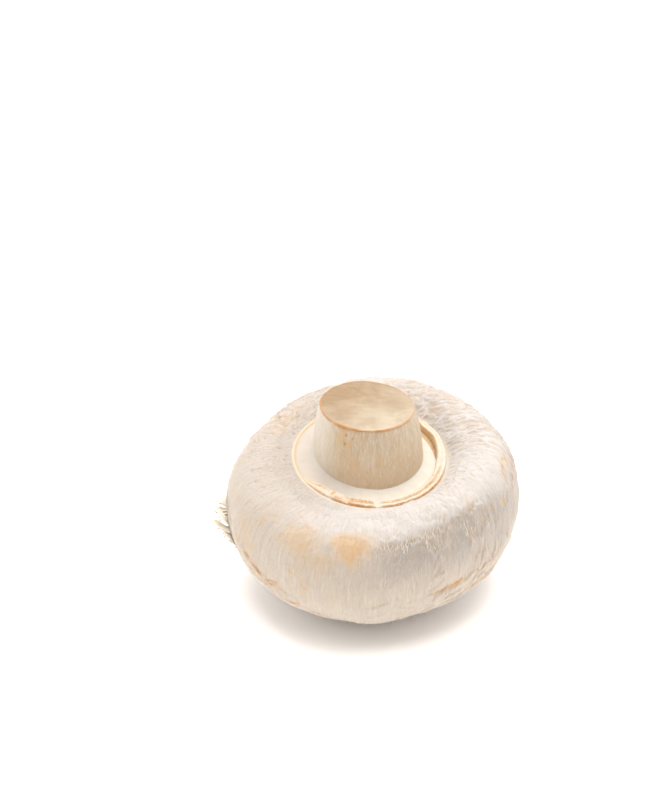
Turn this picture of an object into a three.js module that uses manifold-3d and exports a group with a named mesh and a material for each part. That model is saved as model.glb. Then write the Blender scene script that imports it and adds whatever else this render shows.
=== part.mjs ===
// A button mushroom, closed cup, with its stem cut off short. It lies on its crown, stem up.
// Millimetres, +Z up. The origin is the centre of the small flat spot that the crown rests on.
// Three pieces: the cap with its split, scaly skin, the veil that closes the cap, and the stem.
import * as THREE from 'three';
import { mergeVertices } from 'three/addons/utils/BufferGeometryUtils.js';
import Module from 'manifold-3d';

const wasm = await Module();
wasm.setup();

// ---- Driving dimensions, in the mushroom's own frame ----
// Its axis runs up the stem, and heights are counted from the widest part of the cap.
const CAP_RADIUS = 24.2;
const CROWN_DEPTH = 18.5;
const SHOULDER_RADIUS = 17.3;
const SHOULDER_RISE = 10.6;
const SHOULDER_SQUARENESS = 2.2;
const MARGIN_RADIUS = 12.95;
const MARGIN_RISE = 9.4;
const MARGIN_SHIFT = -0.75;
const WALL_DEPTH = 1.9;
const STEM_CUT_RADIUS = 7.9;
const STEM_CUT_RISE = 20.6;
const STEM_CUT_SHIFT = { x: -1.9, y: 0 };
const STEM_FOOT_RADIUS = 9.35;
const STEM_FOOT_RISE = 10.8;
const STEM_FOOT_SHIFT = { x: -1.1, y: -0.2 };
const STEM_ROOT_RADIUS = 6.5;
const STEM_ROOT_RISE = 4.3;
const STEM_SUNK_RISES = [6.4, 8.6];
const STEM_CUT_SLOPE = THREE.MathUtils.degToRad(-8.8);
const VEIL_THICKNESS = 1;
const VEIL_HEM = 0.08;
const GAP = 0.3;

// How the mushroom lies: its stem leans a little to the front and to the right.
const LEAN_FRONT = THREE.MathUtils.degToRad(7);
const LEAN_RIGHT = THREE.MathUtils.degToRad(2.7);
const FLAT_DEPTH = 0.4;

// ---- Grown irregularity: waves round the axis, as shares of the radius or as heights ----
const CAP_LOBES = [
  { turns: 1, cos: 0.012, sin: -0.004 },
  { turns: 2, cos: 0.015, sin: 0.043 },
  { turns: 3, cos: 0, sin: -0.012 },
  { turns: 4, cos: 0.012, sin: -0.003 },
];
const SHOULDER_TILT = [
  { turns: 1, cos: 2, sin: 0 },
  { turns: 2, cos: 0, sin: -0.3 },
];

// ---- Tears in the skin ----
// Each tear runs round the cap from one angle to another, in degrees from +X. Its places are
// counted along the skin: 0 at the crown, 1 at the widest part, 2 at the top of the shoulder
// and 3 at the margin. The skin on the crown's side of it stands proud by lift, in scallops,
// and loose scales hang over it.
const TEARS = [
  // the front of the shoulder
  { from: -92, to: -36, start: 1.66, end: 1.5, lift: 0.22, scallops: 8, scales: 0 },
  { from: -78, to: -42, start: 1.46, end: 1.34, lift: 0.2, scallops: 4, scales: 0 },
  // the left flank, one above the other
  { from: -158, to: -119, start: 1, end: 0.78, lift: 0.25, scallops: 6, scales: 3 },
  { from: -150, to: -106, start: 0.86, end: 0.66, lift: 0.2, scallops: 5, scales: 2 },
  // the right flank, one above the other
  { from: -64, to: -22, start: 0.86, end: 0.98, lift: 0.3, scallops: 5, scales: 4 },
  { from: -56, to: -24, start: 0.72, end: 0.84, lift: 0.25, scallops: 4, scales: 3 },
  // the right of the shoulder
  { from: -24, to: 24, start: 1.36, end: 1.54, lift: 0.3, scallops: 4, scales: 3 },
  // the left side and the shoulder behind it
  { from: 166, to: 198, start: 1.1, end: 0.94, lift: 0.3, scallops: 5, scales: 3 },
  { from: 128, to: 166, start: 1.36, end: 1.22, lift: 0.3, scallops: 5, scales: 3 },
  // the back
  { from: 62, to: 118, start: 1.08, end: 0.96, lift: 0.45, scallops: 7, scales: 5 },
  { from: 104, to: 150, start: 0.88, end: 0.76, lift: 0.45, scallops: 6, scales: 4 },
  { from: 16, to: 60, start: 1.02, end: 0.88, lift: 0.45, scallops: 6, scales: 4 },
];
const SCALLOP_DEPTH = 0.035;
const TEAR_FADE = 4.5;
const TEAR_DROP = 0.5;
const MM_PER_PLACE = { crown: 29.5, shoulder: 14 };

// Ragged strips of skin that stand off on their own: lift is how far the tip stands out, and
// bend how far it turns sideways.
const SHREDS = [
  { angle: -173, place: 0.99, length: 3.4, width: 1.5, lift: 2.7, bend: 1.6 },
  { angle: -169, place: 0.93, length: 3.2, width: 2.4, lift: 1.9, bend: 0.6 },
  { angle: -165, place: 0.86, length: 3, width: 1.4, lift: 2.5, bend: -1.2 },
  { angle: -161, place: 0.84, length: 3.6, width: 2.6, lift: 1.5, bend: -0.8 },
  { angle: 172, place: 1.2, length: 2.4, width: 1.3, lift: 0.9, bend: 0.5 },
  { angle: 144, place: 1.42, length: 2.2, width: 1.2, lift: 0.9, bend: 0.4 },
  { angle: 56, place: 1.6, length: 2.2, width: 1.2, lift: 0.8, bend: -0.4 },
  { angle: 34, place: 1.5, length: 2.2, width: 1.3, lift: 0.9, bend: 0.5 },
  { angle: 15, place: 1.32, length: 3.6, width: 4.6, lift: 1.3, bend: 0.6 },
  { angle: 4, place: 1.3, length: 3, width: 4.2, lift: 0.8, bend: -0.5 },
  { angle: -27, place: 0.84, length: 3, width: 3.4, lift: 0.9, bend: 0.6 },
  { angle: -41, place: 0.78, length: 2.8, width: 2.6, lift: 1, bend: -0.6 },
  { angle: -113, place: 0.58, length: 2.4, width: 1.6, lift: 0.8, bend: 0.4 },
  { angle: 96, place: 0.9, length: 3.2, width: 2.2, lift: 1.3, bend: 0.8 },
];

// The torn remnant of the veil round the margin: where it runs, in degrees, and where along it,
// as a share, its notch and its highest part lie.
const REMNANT = { from: -152, to: 62, notch: 0.315, crest: 0.84 };
const LIP = { least: 0.3, most: 1.8, rise: 0.4, crest: 0.55, groove: 0.35 };
// At the back right the lip's inner wall stands away from the veil.
const GAPE = { from: -5, to: 70, width: 0.6 };
const LIP_ROUNDING = 0.12;
const SEAT_SHARE = 0.4;
const SEAT_RISE = STEM_FOOT_RISE - VEIL_THICKNESS - 0.7;
const SWELL = 0.07;
const STEM_BEVEL = 0.25;
const STEM_RIB = 0.06;

const SCALE_LENGTH = 3;
const SCALE_LIFT = 0.35;
const BLADE_THICKNESS = 0.65;
const BLADE_SINK = 0.6;

// ---- Mesh fineness ----
const CAP_TURNS = 84;
const CROWN_STEPS = 18;
const SHOULDER_STEPS = 10;
const TOP_STEPS = 3;
const STEM_TURNS = 72;
const STEM_STEPS = 7;
const VEIL_TURNS = 80;
const VEIL_SHARES = [0, 0.35, 0.7, 1];
const BLADE_STEPS = 2;
const BLADE_ACROSS = 3;

// ---- Small helpers ----
const degrees = THREE.MathUtils.degToRad;
const mix = THREE.MathUtils.lerp;
const clamp01 = (value) => THREE.MathUtils.clamp(value, 0, 1);

// A wave round the axis, given as a list of terms.
function wave(terms, angle) {
  let sum = 0;
  for (const { turns, cos, sin } of terms) {
    sum += cos * Math.cos(turns * angle) + sin * Math.sin(turns * angle);
  }
  return sum;
}

// A repeatable number from 0 to 1 for a whole number and a channel.
function scatter(index, channel) {
  const spin = Math.sin(index * 12.9898 + channel * 78.233) * 43758.5453;
  return spin - Math.floor(spin);
}

// How far an angle has gone from one angle to the next, both in degrees: 0 to 1 between them.
function share(angle, from, to) {
  const turn = THREE.MathUtils.euclideanModulo(THREE.MathUtils.radToDeg(angle) - from + 60, 360) - 60;
  return turn / (to - from);
}

// ---- The skin of the cap ----

// The cap's outline at a place along the skin: radius, height, and how much it tilts there.
function capOutline(place) {
  if (place <= 1) {
    const turn = (place * Math.PI) / 2;
    return { radius: CAP_RADIUS * Math.sin(turn), rise: -CROWN_DEPTH * Math.cos(turn), tilt: 0 };
  }
  if (place <= 2) {
    const turn = ((place - 1) * Math.PI) / 2;
    const power = 2 / SHOULDER_SQUARENESS;
    const out = Math.max(Math.cos(turn), 0) ** power;
    return {
      radius: mix(SHOULDER_RADIUS, CAP_RADIUS, out),
      rise: SHOULDER_RISE * Math.sin(turn) ** power,
      tilt: Math.sin(turn) ** 2,
    };
  }
  const inward = place - 2;
  return {
    radius: mix(SHOULDER_RADIUS, MARGIN_RADIUS, inward),
    rise: mix(SHOULDER_RISE, MARGIN_RISE, inward ** 2),
    tilt: 1 - inward ** 2,
  };
}

// The smooth skin, before tears: lobed round the axis and higher on its right shoulder.
function smoothSkin(place, angle) {
  const { radius, rise, tilt } = capOutline(place);
  const outward = (radius - MARGIN_RADIUS) / (CAP_RADIUS - MARGIN_RADIUS);
  const lobing = place <= 1 ? radius / CAP_RADIUS : outward;
  const lobed = radius * (1 + lobing * wave(CAP_LOBES, angle));
  const shift = place > 2 ? MARGIN_SHIFT * (place - 2) : 0;
  return new THREE.Vector3(
    lobed * Math.cos(angle) + shift,
    lobed * Math.sin(angle),
    rise + tilt * wave(SHOULDER_TILT, angle),
  );
}

// The outward direction of the smooth skin.
function skinNormal(place, angle) {
  const step = 0.01;
  const middle = THREE.MathUtils.clamp(place, 2 * step, 3 - step);
  const round = smoothSkin(middle, angle + step).sub(smoothSkin(middle, angle - step));
  const along = smoothSkin(middle + step, angle).sub(smoothSkin(middle - step, angle));
  return round.cross(along).normalize();
}

// A point that stands a height off the smooth skin.
function offSkin(place, angle, height) {
  return smoothSkin(place, angle).addScaledVector(skinNormal(place, angle), height);
}

const placeLength = (place) => (place < 1 ? MM_PER_PLACE.crown : MM_PER_PLACE.shoulder);

// Where a tear's free edge runs, at a share of its way round.
function tearEdge(tear, way) {
  const scallop = Math.abs(Math.sin(Math.PI * tear.scallops * way));
  return mix(tear.start, tear.end, way) + SCALLOP_DEPTH * scallop;
}

// How far the torn skin stands proud: full at each free edge, easing off to nothing at the crown.
function tearRelief(place, angle) {
  let height = 0;
  for (const tear of TEARS) {
    const way = share(angle, tear.from, tear.to);
    if (way <= 0 || way >= 1) continue;
    const behind = (tearEdge(tear, way) - place) * placeLength(place);
    const fall = behind > 0 ? Math.exp(-behind / TEAR_FADE) : Math.exp(behind / TEAR_DROP);
    height += tear.lift * Math.sqrt(Math.sin(Math.PI * way)) * fall;
  }
  return height * clamp01(place / 0.4);
}

// Soft swells of the flesh under the skin, none at the crown or at the margin.
function swell(place, angle) {
  const fade = clamp01(place / 0.5) * clamp01((3 - place) / 0.8);
  const broad = Math.sin(3 * angle + 5 * place) + Math.sin(5 * angle - 7 * place + 1);
  return SWELL * fade * (broad + Math.sin(9 * angle + 11 * place + 2));
}

// ---- The ring: the torn veil remnant that stands round the margin ----

// 1 where the torn remnant stands, from the front left round to the back right, and 0 elsewhere.
function remnant(angle) {
  const way = share(angle, REMNANT.from, REMNANT.to);
  return clamp01(way / 0.08) * clamp01((1 - way) / 0.1);
}

const gape = (angle) => GAPE.width * Math.sin(Math.PI * clamp01(share(angle, GAPE.from, GAPE.to)));

const lipWidth = (angle) => mix(LIP.least, LIP.most, remnant(angle)) - gape(angle);

// Its height over the margin: ragged all along, highest at the back right, broken by a notch.
function lipRise(angle) {
  const way = share(angle, REMNANT.from, REMNANT.to);
  const crest = Math.exp(-(((way - REMNANT.crest) / 0.14) ** 2));
  const notch = Math.exp(-(((way - REMNANT.notch) / 0.015) ** 2));
  const ragged = 0.16 * Math.sin(17 * angle) + 0.12 * Math.sin(31 * angle + 1);
  return remnant(angle) * (1 - 0.8 * notch) * (LIP.rise + LIP.crest * crest + ragged);
}

// ---- The stem and its socket ----

// The stem's centre line leans from its foot to its cut.
function stemShift(rise) {
  const up = (rise - STEM_FOOT_RISE) / (STEM_CUT_RISE - STEM_FOOT_RISE);
  return {
    x: mix(STEM_FOOT_SHIFT.x, STEM_CUT_SHIFT.x, up),
    y: mix(STEM_FOOT_SHIFT.y, STEM_CUT_SHIFT.y, up),
  };
}

// The bare stem's radius: narrow at the cut, filling out to the foot, tapering into the cap.
function stemRadius(rise) {
  if (rise >= STEM_FOOT_RISE) {
    const down = (STEM_CUT_RISE - rise) / (STEM_CUT_RISE - STEM_FOOT_RISE);
    return mix(STEM_CUT_RADIUS, STEM_FOOT_RADIUS, Math.sin((clamp01(down) * Math.PI) / 2) ** 0.9);
  }
  const sunk = (STEM_FOOT_RISE - rise) / (STEM_FOOT_RISE - STEM_ROOT_RISE);
  return mix(STEM_FOOT_RADIUS, STEM_ROOT_RADIUS, sunk ** 2);
}

// ---- Turned bodies ----

// A lathe body round the mushroom's axis, with rows from pole to pole whose vertices are placed
// by rule: placeVertex gets the number of the row and the angle from +X.
function turned(rows, turns, placeVertex) {
  const outline = Array.from({ length: rows }, (_, row) => {
    const start = placeVertex(row, 0);
    return new THREE.Vector2(Math.hypot(start.x, start.y), start.z);
  });
  const geometry = new THREE.LatheGeometry(outline, turns).rotateX(Math.PI / 2);
  const position = geometry.getAttribute('position');
  for (let vertex = 0; vertex < position.count; vertex += 1) {
    const step = Math.floor(vertex / rows) % turns;
    const angle = (step / turns) * 2 * Math.PI - Math.PI / 2;
    const point = placeVertex(vertex % rows, angle);
    position.setXYZ(vertex, point.x, point.y, point.z);
  }
  return geometry;
}

function aroundAxis(radius, angle, rise, shift) {
  return new THREE.Vector3(radius * Math.cos(angle) + shift.x, radius * Math.sin(angle) + shift.y, rise);
}

// Where the veil's underside lies on the cap, at a share of the way from the wall to the stem.
const seatRise = (way) => mix(MARGIN_RISE - WALL_DEPTH, SEAT_RISE, way ** 1.3);

// The ring's section at an angle, from the margin inwards: over the lip with its groove, down
// the wall, and across the seat of the veil to the stem.
function ringSection(angle) {
  const top = MARGIN_RISE + lipRise(angle);
  const edge = MARGIN_RADIUS - lipWidth(angle);
  const groove = LIP_ROUNDING + LIP.groove * remnant(angle);
  return [
    { radius: MARGIN_RADIUS - LIP_ROUNDING, rise: top - LIP_ROUNDING },
    { radius: (MARGIN_RADIUS + edge) / 2, rise: top - groove },
    { radius: edge, rise: top - 2 * LIP_ROUNDING },
    { radius: edge - LIP_ROUNDING / 2, rise: MARGIN_RISE - 0.7 },
    { radius: edge, rise: seatRise(0) },
    { radius: mix(edge, STEM_FOOT_RADIUS, SEAT_SHARE), rise: seatRise(SEAT_SHARE) - gape(angle) / 2 },
  ];
}

function capBody() {
  const places = [];
  for (let step = 0; step <= CROWN_STEPS; step += 1) places.push(step / CROWN_STEPS);
  for (let step = 1; step <= SHOULDER_STEPS; step += 1) places.push(1 + step / SHOULDER_STEPS);
  for (let step = 1; step <= TOP_STEPS; step += 1) places.push(2 + step / TOP_STEPS);
  const ringRows = ringSection(0).length;
  const pole = new THREE.Vector3(STEM_FOOT_SHIFT.x, STEM_FOOT_SHIFT.y, seatRise(0.6));
  return turned(places.length + ringRows + 1, CAP_TURNS, (row, angle) => {
    if (row === places.length + ringRows) return pole;
    if (row >= places.length) {
      const { radius, rise } = ringSection(angle)[row - places.length];
      return aroundAxis(radius, angle, rise, { x: MARGIN_SHIFT, y: 0 });
    }
    const place = places[row];
    return offSkin(place, angle, tearRelief(place, angle) + swell(place, angle));
  });
}

// The hole that the stem grows out of: the stem's own form and the gap, closed at both ends.
function stemSocket() {
  const floor = STEM_ROOT_RISE - GAP;
  const top = STEM_FOOT_RISE + 2;
  const rises = [floor, floor, ...STEM_SUNK_RISES, STEM_FOOT_RISE, top, top];
  return turned(rises.length, STEM_TURNS, (row, angle) => {
    const rise = rises[row];
    const isPole = row === 0 || row === rises.length - 1;
    const radius = isPole ? 0 : stemRadius(Math.max(rise, STEM_ROOT_RISE)) + GAP;
    return aroundAxis(radius, angle, rise, stemShift(rise));
  });
}

// ---- Loose scales and shreds ----

// A thin blade of skin, rooted in the flesh, whose ragged free end lifts off toward the margin.
function blade({ angle, place, length, width, lift, bend, seed }) {
  const geometry = new THREE.BoxGeometry(2, 1, 1, BLADE_ACROSS, BLADE_STEPS, 1);
  const position = geometry.getAttribute('position');
  const radius = capOutline(place).radius;
  for (let vertex = 0; vertex < position.count; vertex += 1) {
    const across = position.getX(vertex);
    const column = Math.round((across + 1) * BLADE_ACROSS);
    const out = (position.getY(vertex) + 0.5) * (1 - 0.28 * scatter(seed, column));
    const side = position.getZ(vertex);
    const half = (width / 2) * (1 - 0.5 * out ** 2);
    const height = mix(-BLADE_SINK, lift, out ** 1.3) + side * BLADE_THICKNESS * (1 - 0.15 * out);
    const point = offSkin(
      place + (out * length) / placeLength(place),
      degrees(angle) + (across * half + bend * out ** 2) / radius,
      height,
    );
    position.setXYZ(vertex, point.x, point.y, point.z);
  }
  return geometry;
}

function looseScales() {
  const scales = [];
  TEARS.forEach((tear, row) => {
    for (let count = 0; count < tear.scales; count += 1) {
      const seed = row * 10 + count;
      const way = (count + 0.3 + 0.4 * scatter(seed, 1)) / tear.scales;
      const length = SCALE_LENGTH * (0.8 + 0.4 * scatter(seed, 2));
      const edge = tearEdge(tear, way);
      scales.push(
        blade({
          angle: mix(tear.from, tear.to, way),
          place: edge - (0.72 * length) / placeLength(edge),
          length,
          width: length * (0.9 + 0.5 * scatter(seed, 3)),
          lift: SCALE_LIFT + tear.lift * (0.4 + 0.6 * scatter(seed, 4)),
          bend: 1.2 * (scatter(seed, 5) - 0.5),
          seed,
        }),
      );
    }
  });
  return scales;
}

const shreds = () => SHREDS.map((shred, count) => blade({ ...shred, seed: 200 + count }));

// ---- Lying on its crown ----

// The frame of the lying mushroom: its lowest point comes over the origin, sunk by the flat spot.
function lyingFrame() {
  const axis = new THREE.Vector3(
    Math.sin(LEAN_RIGHT),
    -Math.sin(LEAN_FRONT) * Math.cos(LEAN_RIGHT),
    Math.cos(LEAN_FRONT) * Math.cos(LEAN_RIGHT),
  );
  const right = new THREE.Vector3(0, 1, 0).cross(axis).normalize();
  const back = axis.clone().cross(right);
  const spread = CAP_RADIUS ** 2 - CROWN_DEPTH ** 2;
  const reach = Math.sqrt(CAP_RADIUS ** 2 - spread * axis.z ** 2);
  const offset = (spread * axis.z) / reach;
  return new THREE.Matrix4()
    .makeBasis(right, back, axis)
    .setPosition(-offset * axis.x, -offset * axis.y, reach - FLAT_DEPTH);
}

const LYING = lyingFrame();

// ---- Solids ----

// A closed geometry as a solid in the lying frame.
function solidOf(geometry, frame = LYING) {
  const bare = new THREE.BufferGeometry();
  bare.setAttribute('position', geometry.getAttribute('position').clone());
  bare.setIndex(geometry.index.clone());
  bare.applyMatrix4(frame);
  const merged = mergeVertices(bare, 1e-3);
  const corners = merged.index.array;
  const triangles = [];
  for (let at = 0; at < corners.length; at += 3) {
    const [a, b, c] = [corners[at], corners[at + 1], corners[at + 2]];
    if (a !== b && b !== c && c !== a) triangles.push(a, b, c);
  }
  const vertProperties = merged.getAttribute('position').array;
  const triVerts = new Uint32Array(triangles);
  return new wasm.Manifold(new wasm.Mesh({ numProp: 3, vertProperties, triVerts }));
}

// A named piece with its own material.
function piece(name, solid, finish) {
  const mesh = solid.getMesh();
  const geometry = new THREE.BufferGeometry();
  const points = new Float32Array(mesh.vertProperties);
  geometry.setAttribute('position', new THREE.BufferAttribute(points, 3));
  geometry.setIndex(new THREE.BufferAttribute(new Uint32Array(mesh.triVerts), 1));
  geometry.computeVertexNormals();
  const made = new THREE.Mesh(geometry, new THREE.MeshStandardMaterial({ metalness: 0, ...finish }));
  made.name = name;
  return made;
}

// The cap: its body and all its loose skin in one, the stem's socket cut out, the crown flat below.
function cap() {
  let solid = solidOf(capBody());
  for (const strip of [...looseScales(), ...shreds()]) solid = solid.add(solidOf(strip));
  solid = solid.subtract(solidOf(stemSocket()));
  const room = 4 * CAP_RADIUS;
  const below = new THREE.BoxGeometry(room, room, room);
  solid = solid.subtract(solidOf(below, new THREE.Matrix4().makeTranslation(0, 0, -room / 2)));
  return piece('cap', solid, { color: 0xefe5d8, roughness: 0.75 });
}

// The veil: a thin collar from the stem's foot down to the cap's wall, its hem a little ragged.
function veil() {
  const inner = STEM_FOOT_RADIUS + GAP;
  const room = LIP_ROUNDING / 2 + GAP;
  const outer = (angle) => MARGIN_RADIUS - lipWidth(angle) - gape(angle) - room;
  const crest = (way) => mix(MARGIN_RISE - 0.35, STEM_FOOT_RISE, way ** 1.7);
  const underside = (way) => Math.max(seatRise(way) + GAP, crest(way) - VEIL_THICKNESS);
  const rows = [
    ...VEIL_SHARES.toReversed().map((way) => ({ way, rise: underside(way) })),
    ...VEIL_SHARES.map((way) => ({ way, rise: crest(way) })),
  ];
  rows.push(rows[0]);
  const foot = stemShift(STEM_FOOT_RISE);
  const geometry = turned(rows.length, VEIL_TURNS, (row, angle) => {
    const { way, rise } = rows[row];
    const hem = (1 - way) * VEIL_HEM * Math.sin(13 * angle);
    const shift = { x: mix(MARGIN_SHIFT, foot.x, way), y: mix(0, foot.y, way) };
    return aroundAxis(mix(outer(angle), inner, way), angle, rise + hem, shift);
  });
  return piece('veil', solidOf(geometry), { color: 0xf3e9d8, roughness: 0.6 });
}

// The stem's rows from its root up its side, over the bevel and in to the middle of the cut.
function stemRows() {
  const rows = [{ rise: STEM_ROOT_RISE, radius: 0 }];
  for (const rise of [STEM_ROOT_RISE, ...STEM_SUNK_RISES]) rows.push({ rise, radius: stemRadius(rise) });
  for (let step = 0; step <= STEM_STEPS; step += 1) {
    const rise = mix(STEM_FOOT_RISE, STEM_CUT_RISE - STEM_BEVEL, step / STEM_STEPS);
    rows.push({ rise, radius: stemRadius(rise), isBare: step > 0 });
  }
  const rise = STEM_CUT_RISE;
  rows.push({ rise, radius: STEM_CUT_RADIUS - STEM_BEVEL, isBare: true });
  rows.push({ rise, radius: STEM_CUT_RADIUS / 2 }, { rise, radius: 0 });
  return rows;
}

// The stem: finely ribbed along its length, sliced off a little out of square at the top.
function stem() {
  const rows = stemRows();
  const geometry = turned(rows.length, STEM_TURNS, (row, angle) => {
    const { rise, radius, isBare } = rows[row];
    const ribs = Math.sin(29 * angle) + Math.sin(17 * angle + 0.4 * rise) - 1;
    const point = aroundAxis(radius + (isBare ? STEM_RIB * ribs : 0), angle, rise, stemShift(rise));
    const sliced = clamp01((rise - STEM_FOOT_RISE) / (STEM_CUT_RISE - STEM_FOOT_RISE)) ** 2;
    point.z += sliced * Math.tan(STEM_CUT_SLOPE) * (point.y - STEM_CUT_SHIFT.y);
    return point;
  });
  return piece('stem', solidOf(geometry), { color: 0xe6d3b5, roughness: 0.7 });
}

const mushroom = new THREE.Group();
mushroom.add(cap(), veil(), stem());

export default mushroom;
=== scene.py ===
"""A button mushroom lying on its crown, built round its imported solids: skin, veil and stem."""

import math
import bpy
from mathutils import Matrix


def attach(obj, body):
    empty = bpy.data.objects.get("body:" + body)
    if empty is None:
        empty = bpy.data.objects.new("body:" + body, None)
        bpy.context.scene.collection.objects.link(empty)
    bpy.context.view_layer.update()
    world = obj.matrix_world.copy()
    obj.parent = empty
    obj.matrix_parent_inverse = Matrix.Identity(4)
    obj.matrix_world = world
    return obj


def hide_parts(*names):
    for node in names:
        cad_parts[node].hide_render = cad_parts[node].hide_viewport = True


bl_info = {
    "name": "Button Mushroom",
    "version": (1, 0, 0),
    "blender": (4, 5, 0),
    "location": "View3D > Sidebar > Mushroom",
    "description": "Makes a closed-cup button mushroom with its torn skin, veil and cut stem",
    "category": "Add Mesh",
}

import bpy
import numpy as np
from mathutils import Matrix, Vector

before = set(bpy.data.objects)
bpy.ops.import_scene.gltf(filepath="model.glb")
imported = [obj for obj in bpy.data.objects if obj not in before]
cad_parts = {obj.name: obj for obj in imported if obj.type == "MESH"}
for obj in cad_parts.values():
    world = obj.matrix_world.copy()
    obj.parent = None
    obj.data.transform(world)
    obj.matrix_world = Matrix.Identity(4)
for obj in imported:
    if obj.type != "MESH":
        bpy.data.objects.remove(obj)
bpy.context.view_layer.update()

MM = 0.001
BODY = "root"
TURN = 2 * np.pi
CAP_TURNS = 600
VEIL_TURNS = 320
STEM_TURNS = 420
# how much closer the cap's turns lie at the front
FRONT_PACKING = 0.4
# how far apart the ring's rows are in the space of its fibres, in millimetres
RING_STEP = 0.1
# what the way along the fibres is multiplied by, so that the noise of the threads runs with them
THREAD_SQUEEZE = 0.14


def table(names, *rows):
    """Rows of values as dictionaries with the given names."""
    return tuple(dict(zip(names.split(), row)) for row in rows)


# ---- Grown irregularity: waves round the axis, as (turns, cosine, sine) ----
CAP_LOBES = ((1, 0.012, -0.004), (2, 0.015, 0.043), (3, 0.0, -0.012), (4, 0.012, -0.003))
SHOULDER_TILT = ((1, 2.0, 0.0), (2, 0.0, -0.3))

# ---- Tears in the skin: angles in degrees, places along the skin (0 crown, 1 widest, 2 top of
# the shoulder, 3 margin), lift in millimetres, and how brown the crevice under the edge is ----
TEARS = table(
    "start stop place lift scallops brown",
    (-92, -36, (1.66, 1.50), 0.22, 8, 0.0),
    (-78, -42, (1.46, 1.34), 0.20, 4, 0.0),
    (-158, -119, (1.00, 0.78), 0.25, 6, 0.30),
    (-150, -106, (0.86, 0.66), 0.20, 5, 0.20),
    (-64, -22, (0.86, 0.98), 0.30, 5, 0.30),
    (-56, -24, (0.72, 0.84), 0.25, 4, 0.30),
    (-24, 24, (1.36, 1.54), 0.30, 4, 0.20),
    (166, 198, (1.10, 0.94), 0.30, 5, 0.20),
    (128, 166, (1.36, 1.22), 0.30, 5, 0.20),
    (62, 118, (1.08, 0.96), 0.45, 7, 0.35),
    (104, 150, (0.88, 0.76), 0.45, 6, 0.35),
    (16, 60, (1.02, 0.88), 0.45, 6, 0.35),
)
SCALLOP_DEPTH = 0.035
TEAR_FADE = 4.5
TEAR_DROP = 0.22

# ---- Millimetres of skin for one whole place, below and above the widest part ----
CROWN_MM = 29.5
SHOULDER_MM = 14.0

# ---- Ragged shreds that stand off at the left: angle, place, and length, width, lift and sideways
# bend in millimetres ----
SHREDS = (
    (-173, 0.99, 3.4, 2.2, 2.7, 1.6),
    (-169, 0.94, 3.4, 3.2, 2.3, 0.6),
    (-165, 0.88, 3.0, 2.2, 2.6, -1.2),
    (-161, 0.84, 3.6, 3.2, 1.8, -0.8),
)
BLADE_SINK = 0.6
FIRST_SHRED_SEED = 200

# ---- Curled strands at the left: angle, place, and in millimetres how far each stands out, climbs
# towards the margin, goes sideways and droops back at its tip, and its thickness ----
STRANDS = (
    (-169, 0.99, 2.7, 1.0, 0.3, 0.6, 0.24),
    (-169, 1.00, 1.9, 1.5, -0.2, 0.0, 0.16),
    (-168, 0.98, 2.2, 0.4, 0.4, 0.4, 0.15),
    (-170, 1.02, 1.2, 1.2, 0.2, 0.1, 0.12),
    (-166, 0.94, 1.9, 1.8, 0.3, 0.2, 0.28),
    (-167, 0.95, 1.6, 1.3, 0.8, 0.1, 0.22),
    (-165, 0.92, 2.7, -0.1, -0.3, -0.3, 0.22),
    (-164, 0.91, 2.0, 0.6, -0.8, 0.4, 0.18),
    (-163, 0.90, 1.6, -0.5, 0.2, 0.3, 0.21),
    (-161, 0.88, 1.1, -0.3, -0.5, 0.2, 0.18),
    (-158, 0.86, 0.7, 0.7, 0.3, 0.1, 0.12),
)

# ---- Thin dried lines in the skin: corners as (angle, place), half width, strength ----
STROKES = table(
    "path width amount",
    (((-147, 0.97), (-142, 0.93), (-136, 0.885), (-130, 0.90)), 0.26, 1.15),
    (((-152, 0.89), (-149, 0.79), (-140, 0.78)), 0.22, 1.0),
    (((-133, 0.77), (-128, 0.75), (-120, 0.78)), 0.24, 0.9),
    (((-152, 0.94), (-145, 0.88), (-138, 0.84), (-130, 0.83)), 0.15, 0.8),
    (((-140, 0.93), (-133, 0.87), (-126, 0.86)), 0.13, 0.7),
    (((-122, 0.74), (-114, 0.70), (-110, 0.69)), 0.16, 0.7),
    (((-130, 1.88), (-124, 1.74), (-120, 1.73)), 0.13, 0.5),
    (((-124, 1.11), (-120, 1.06), (-116, 0.97)), 0.13, 0.45),
    (((-62, 0.93), (-56, 0.945), (-50, 0.965)), 0.34, 0.8),
    (((-60, 0.92), (-52, 0.93), (-46, 0.925)), 0.16, 0.8),
    (((-44, 0.79), (-39, 0.81), (-33, 0.83)), 0.24, 0.8),
    (((-28, 0.90), (-33, 0.94), (-38, 0.96)), 0.12, 0.5),
    (((-24, 0.86), (-28, 0.84), (-31, 0.80)), 0.14, 0.7),
    (((-4, 1.56), (-1, 1.66), (-5, 1.72)), 0.22, 0.75),
    (((-12, 1.57), (-10, 1.66), (-6, 1.70)), 0.18, 0.7),
    (((-31, 1.54), (-29, 1.50)), 0.18, 0.7),
    (((-22, 1.45), (-19, 1.39)), 0.18, 0.6),
    (((70, 1.02), (84, 1.00), (96, 0.98)), 0.22, 0.7),
    (((112, 0.86), (126, 0.83), (138, 0.80)), 0.22, 0.7),
    (((24, 0.98), (36, 0.95), (48, 0.92)), 0.20, 0.6),
)

# ---- The torn remnant of the veil round the margin ----
REMNANT = dict(start=-152, stop=62, notch=0.315, crest=0.84)
LIP = dict(least=0.3, most=1.8, rise=0.4, crest=0.55)
GAPE = dict(start=-5, stop=70, width=0.6)
# places between which the skin turns into the lip
LIP_STARTS = (2.90, 2.93)

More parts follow.
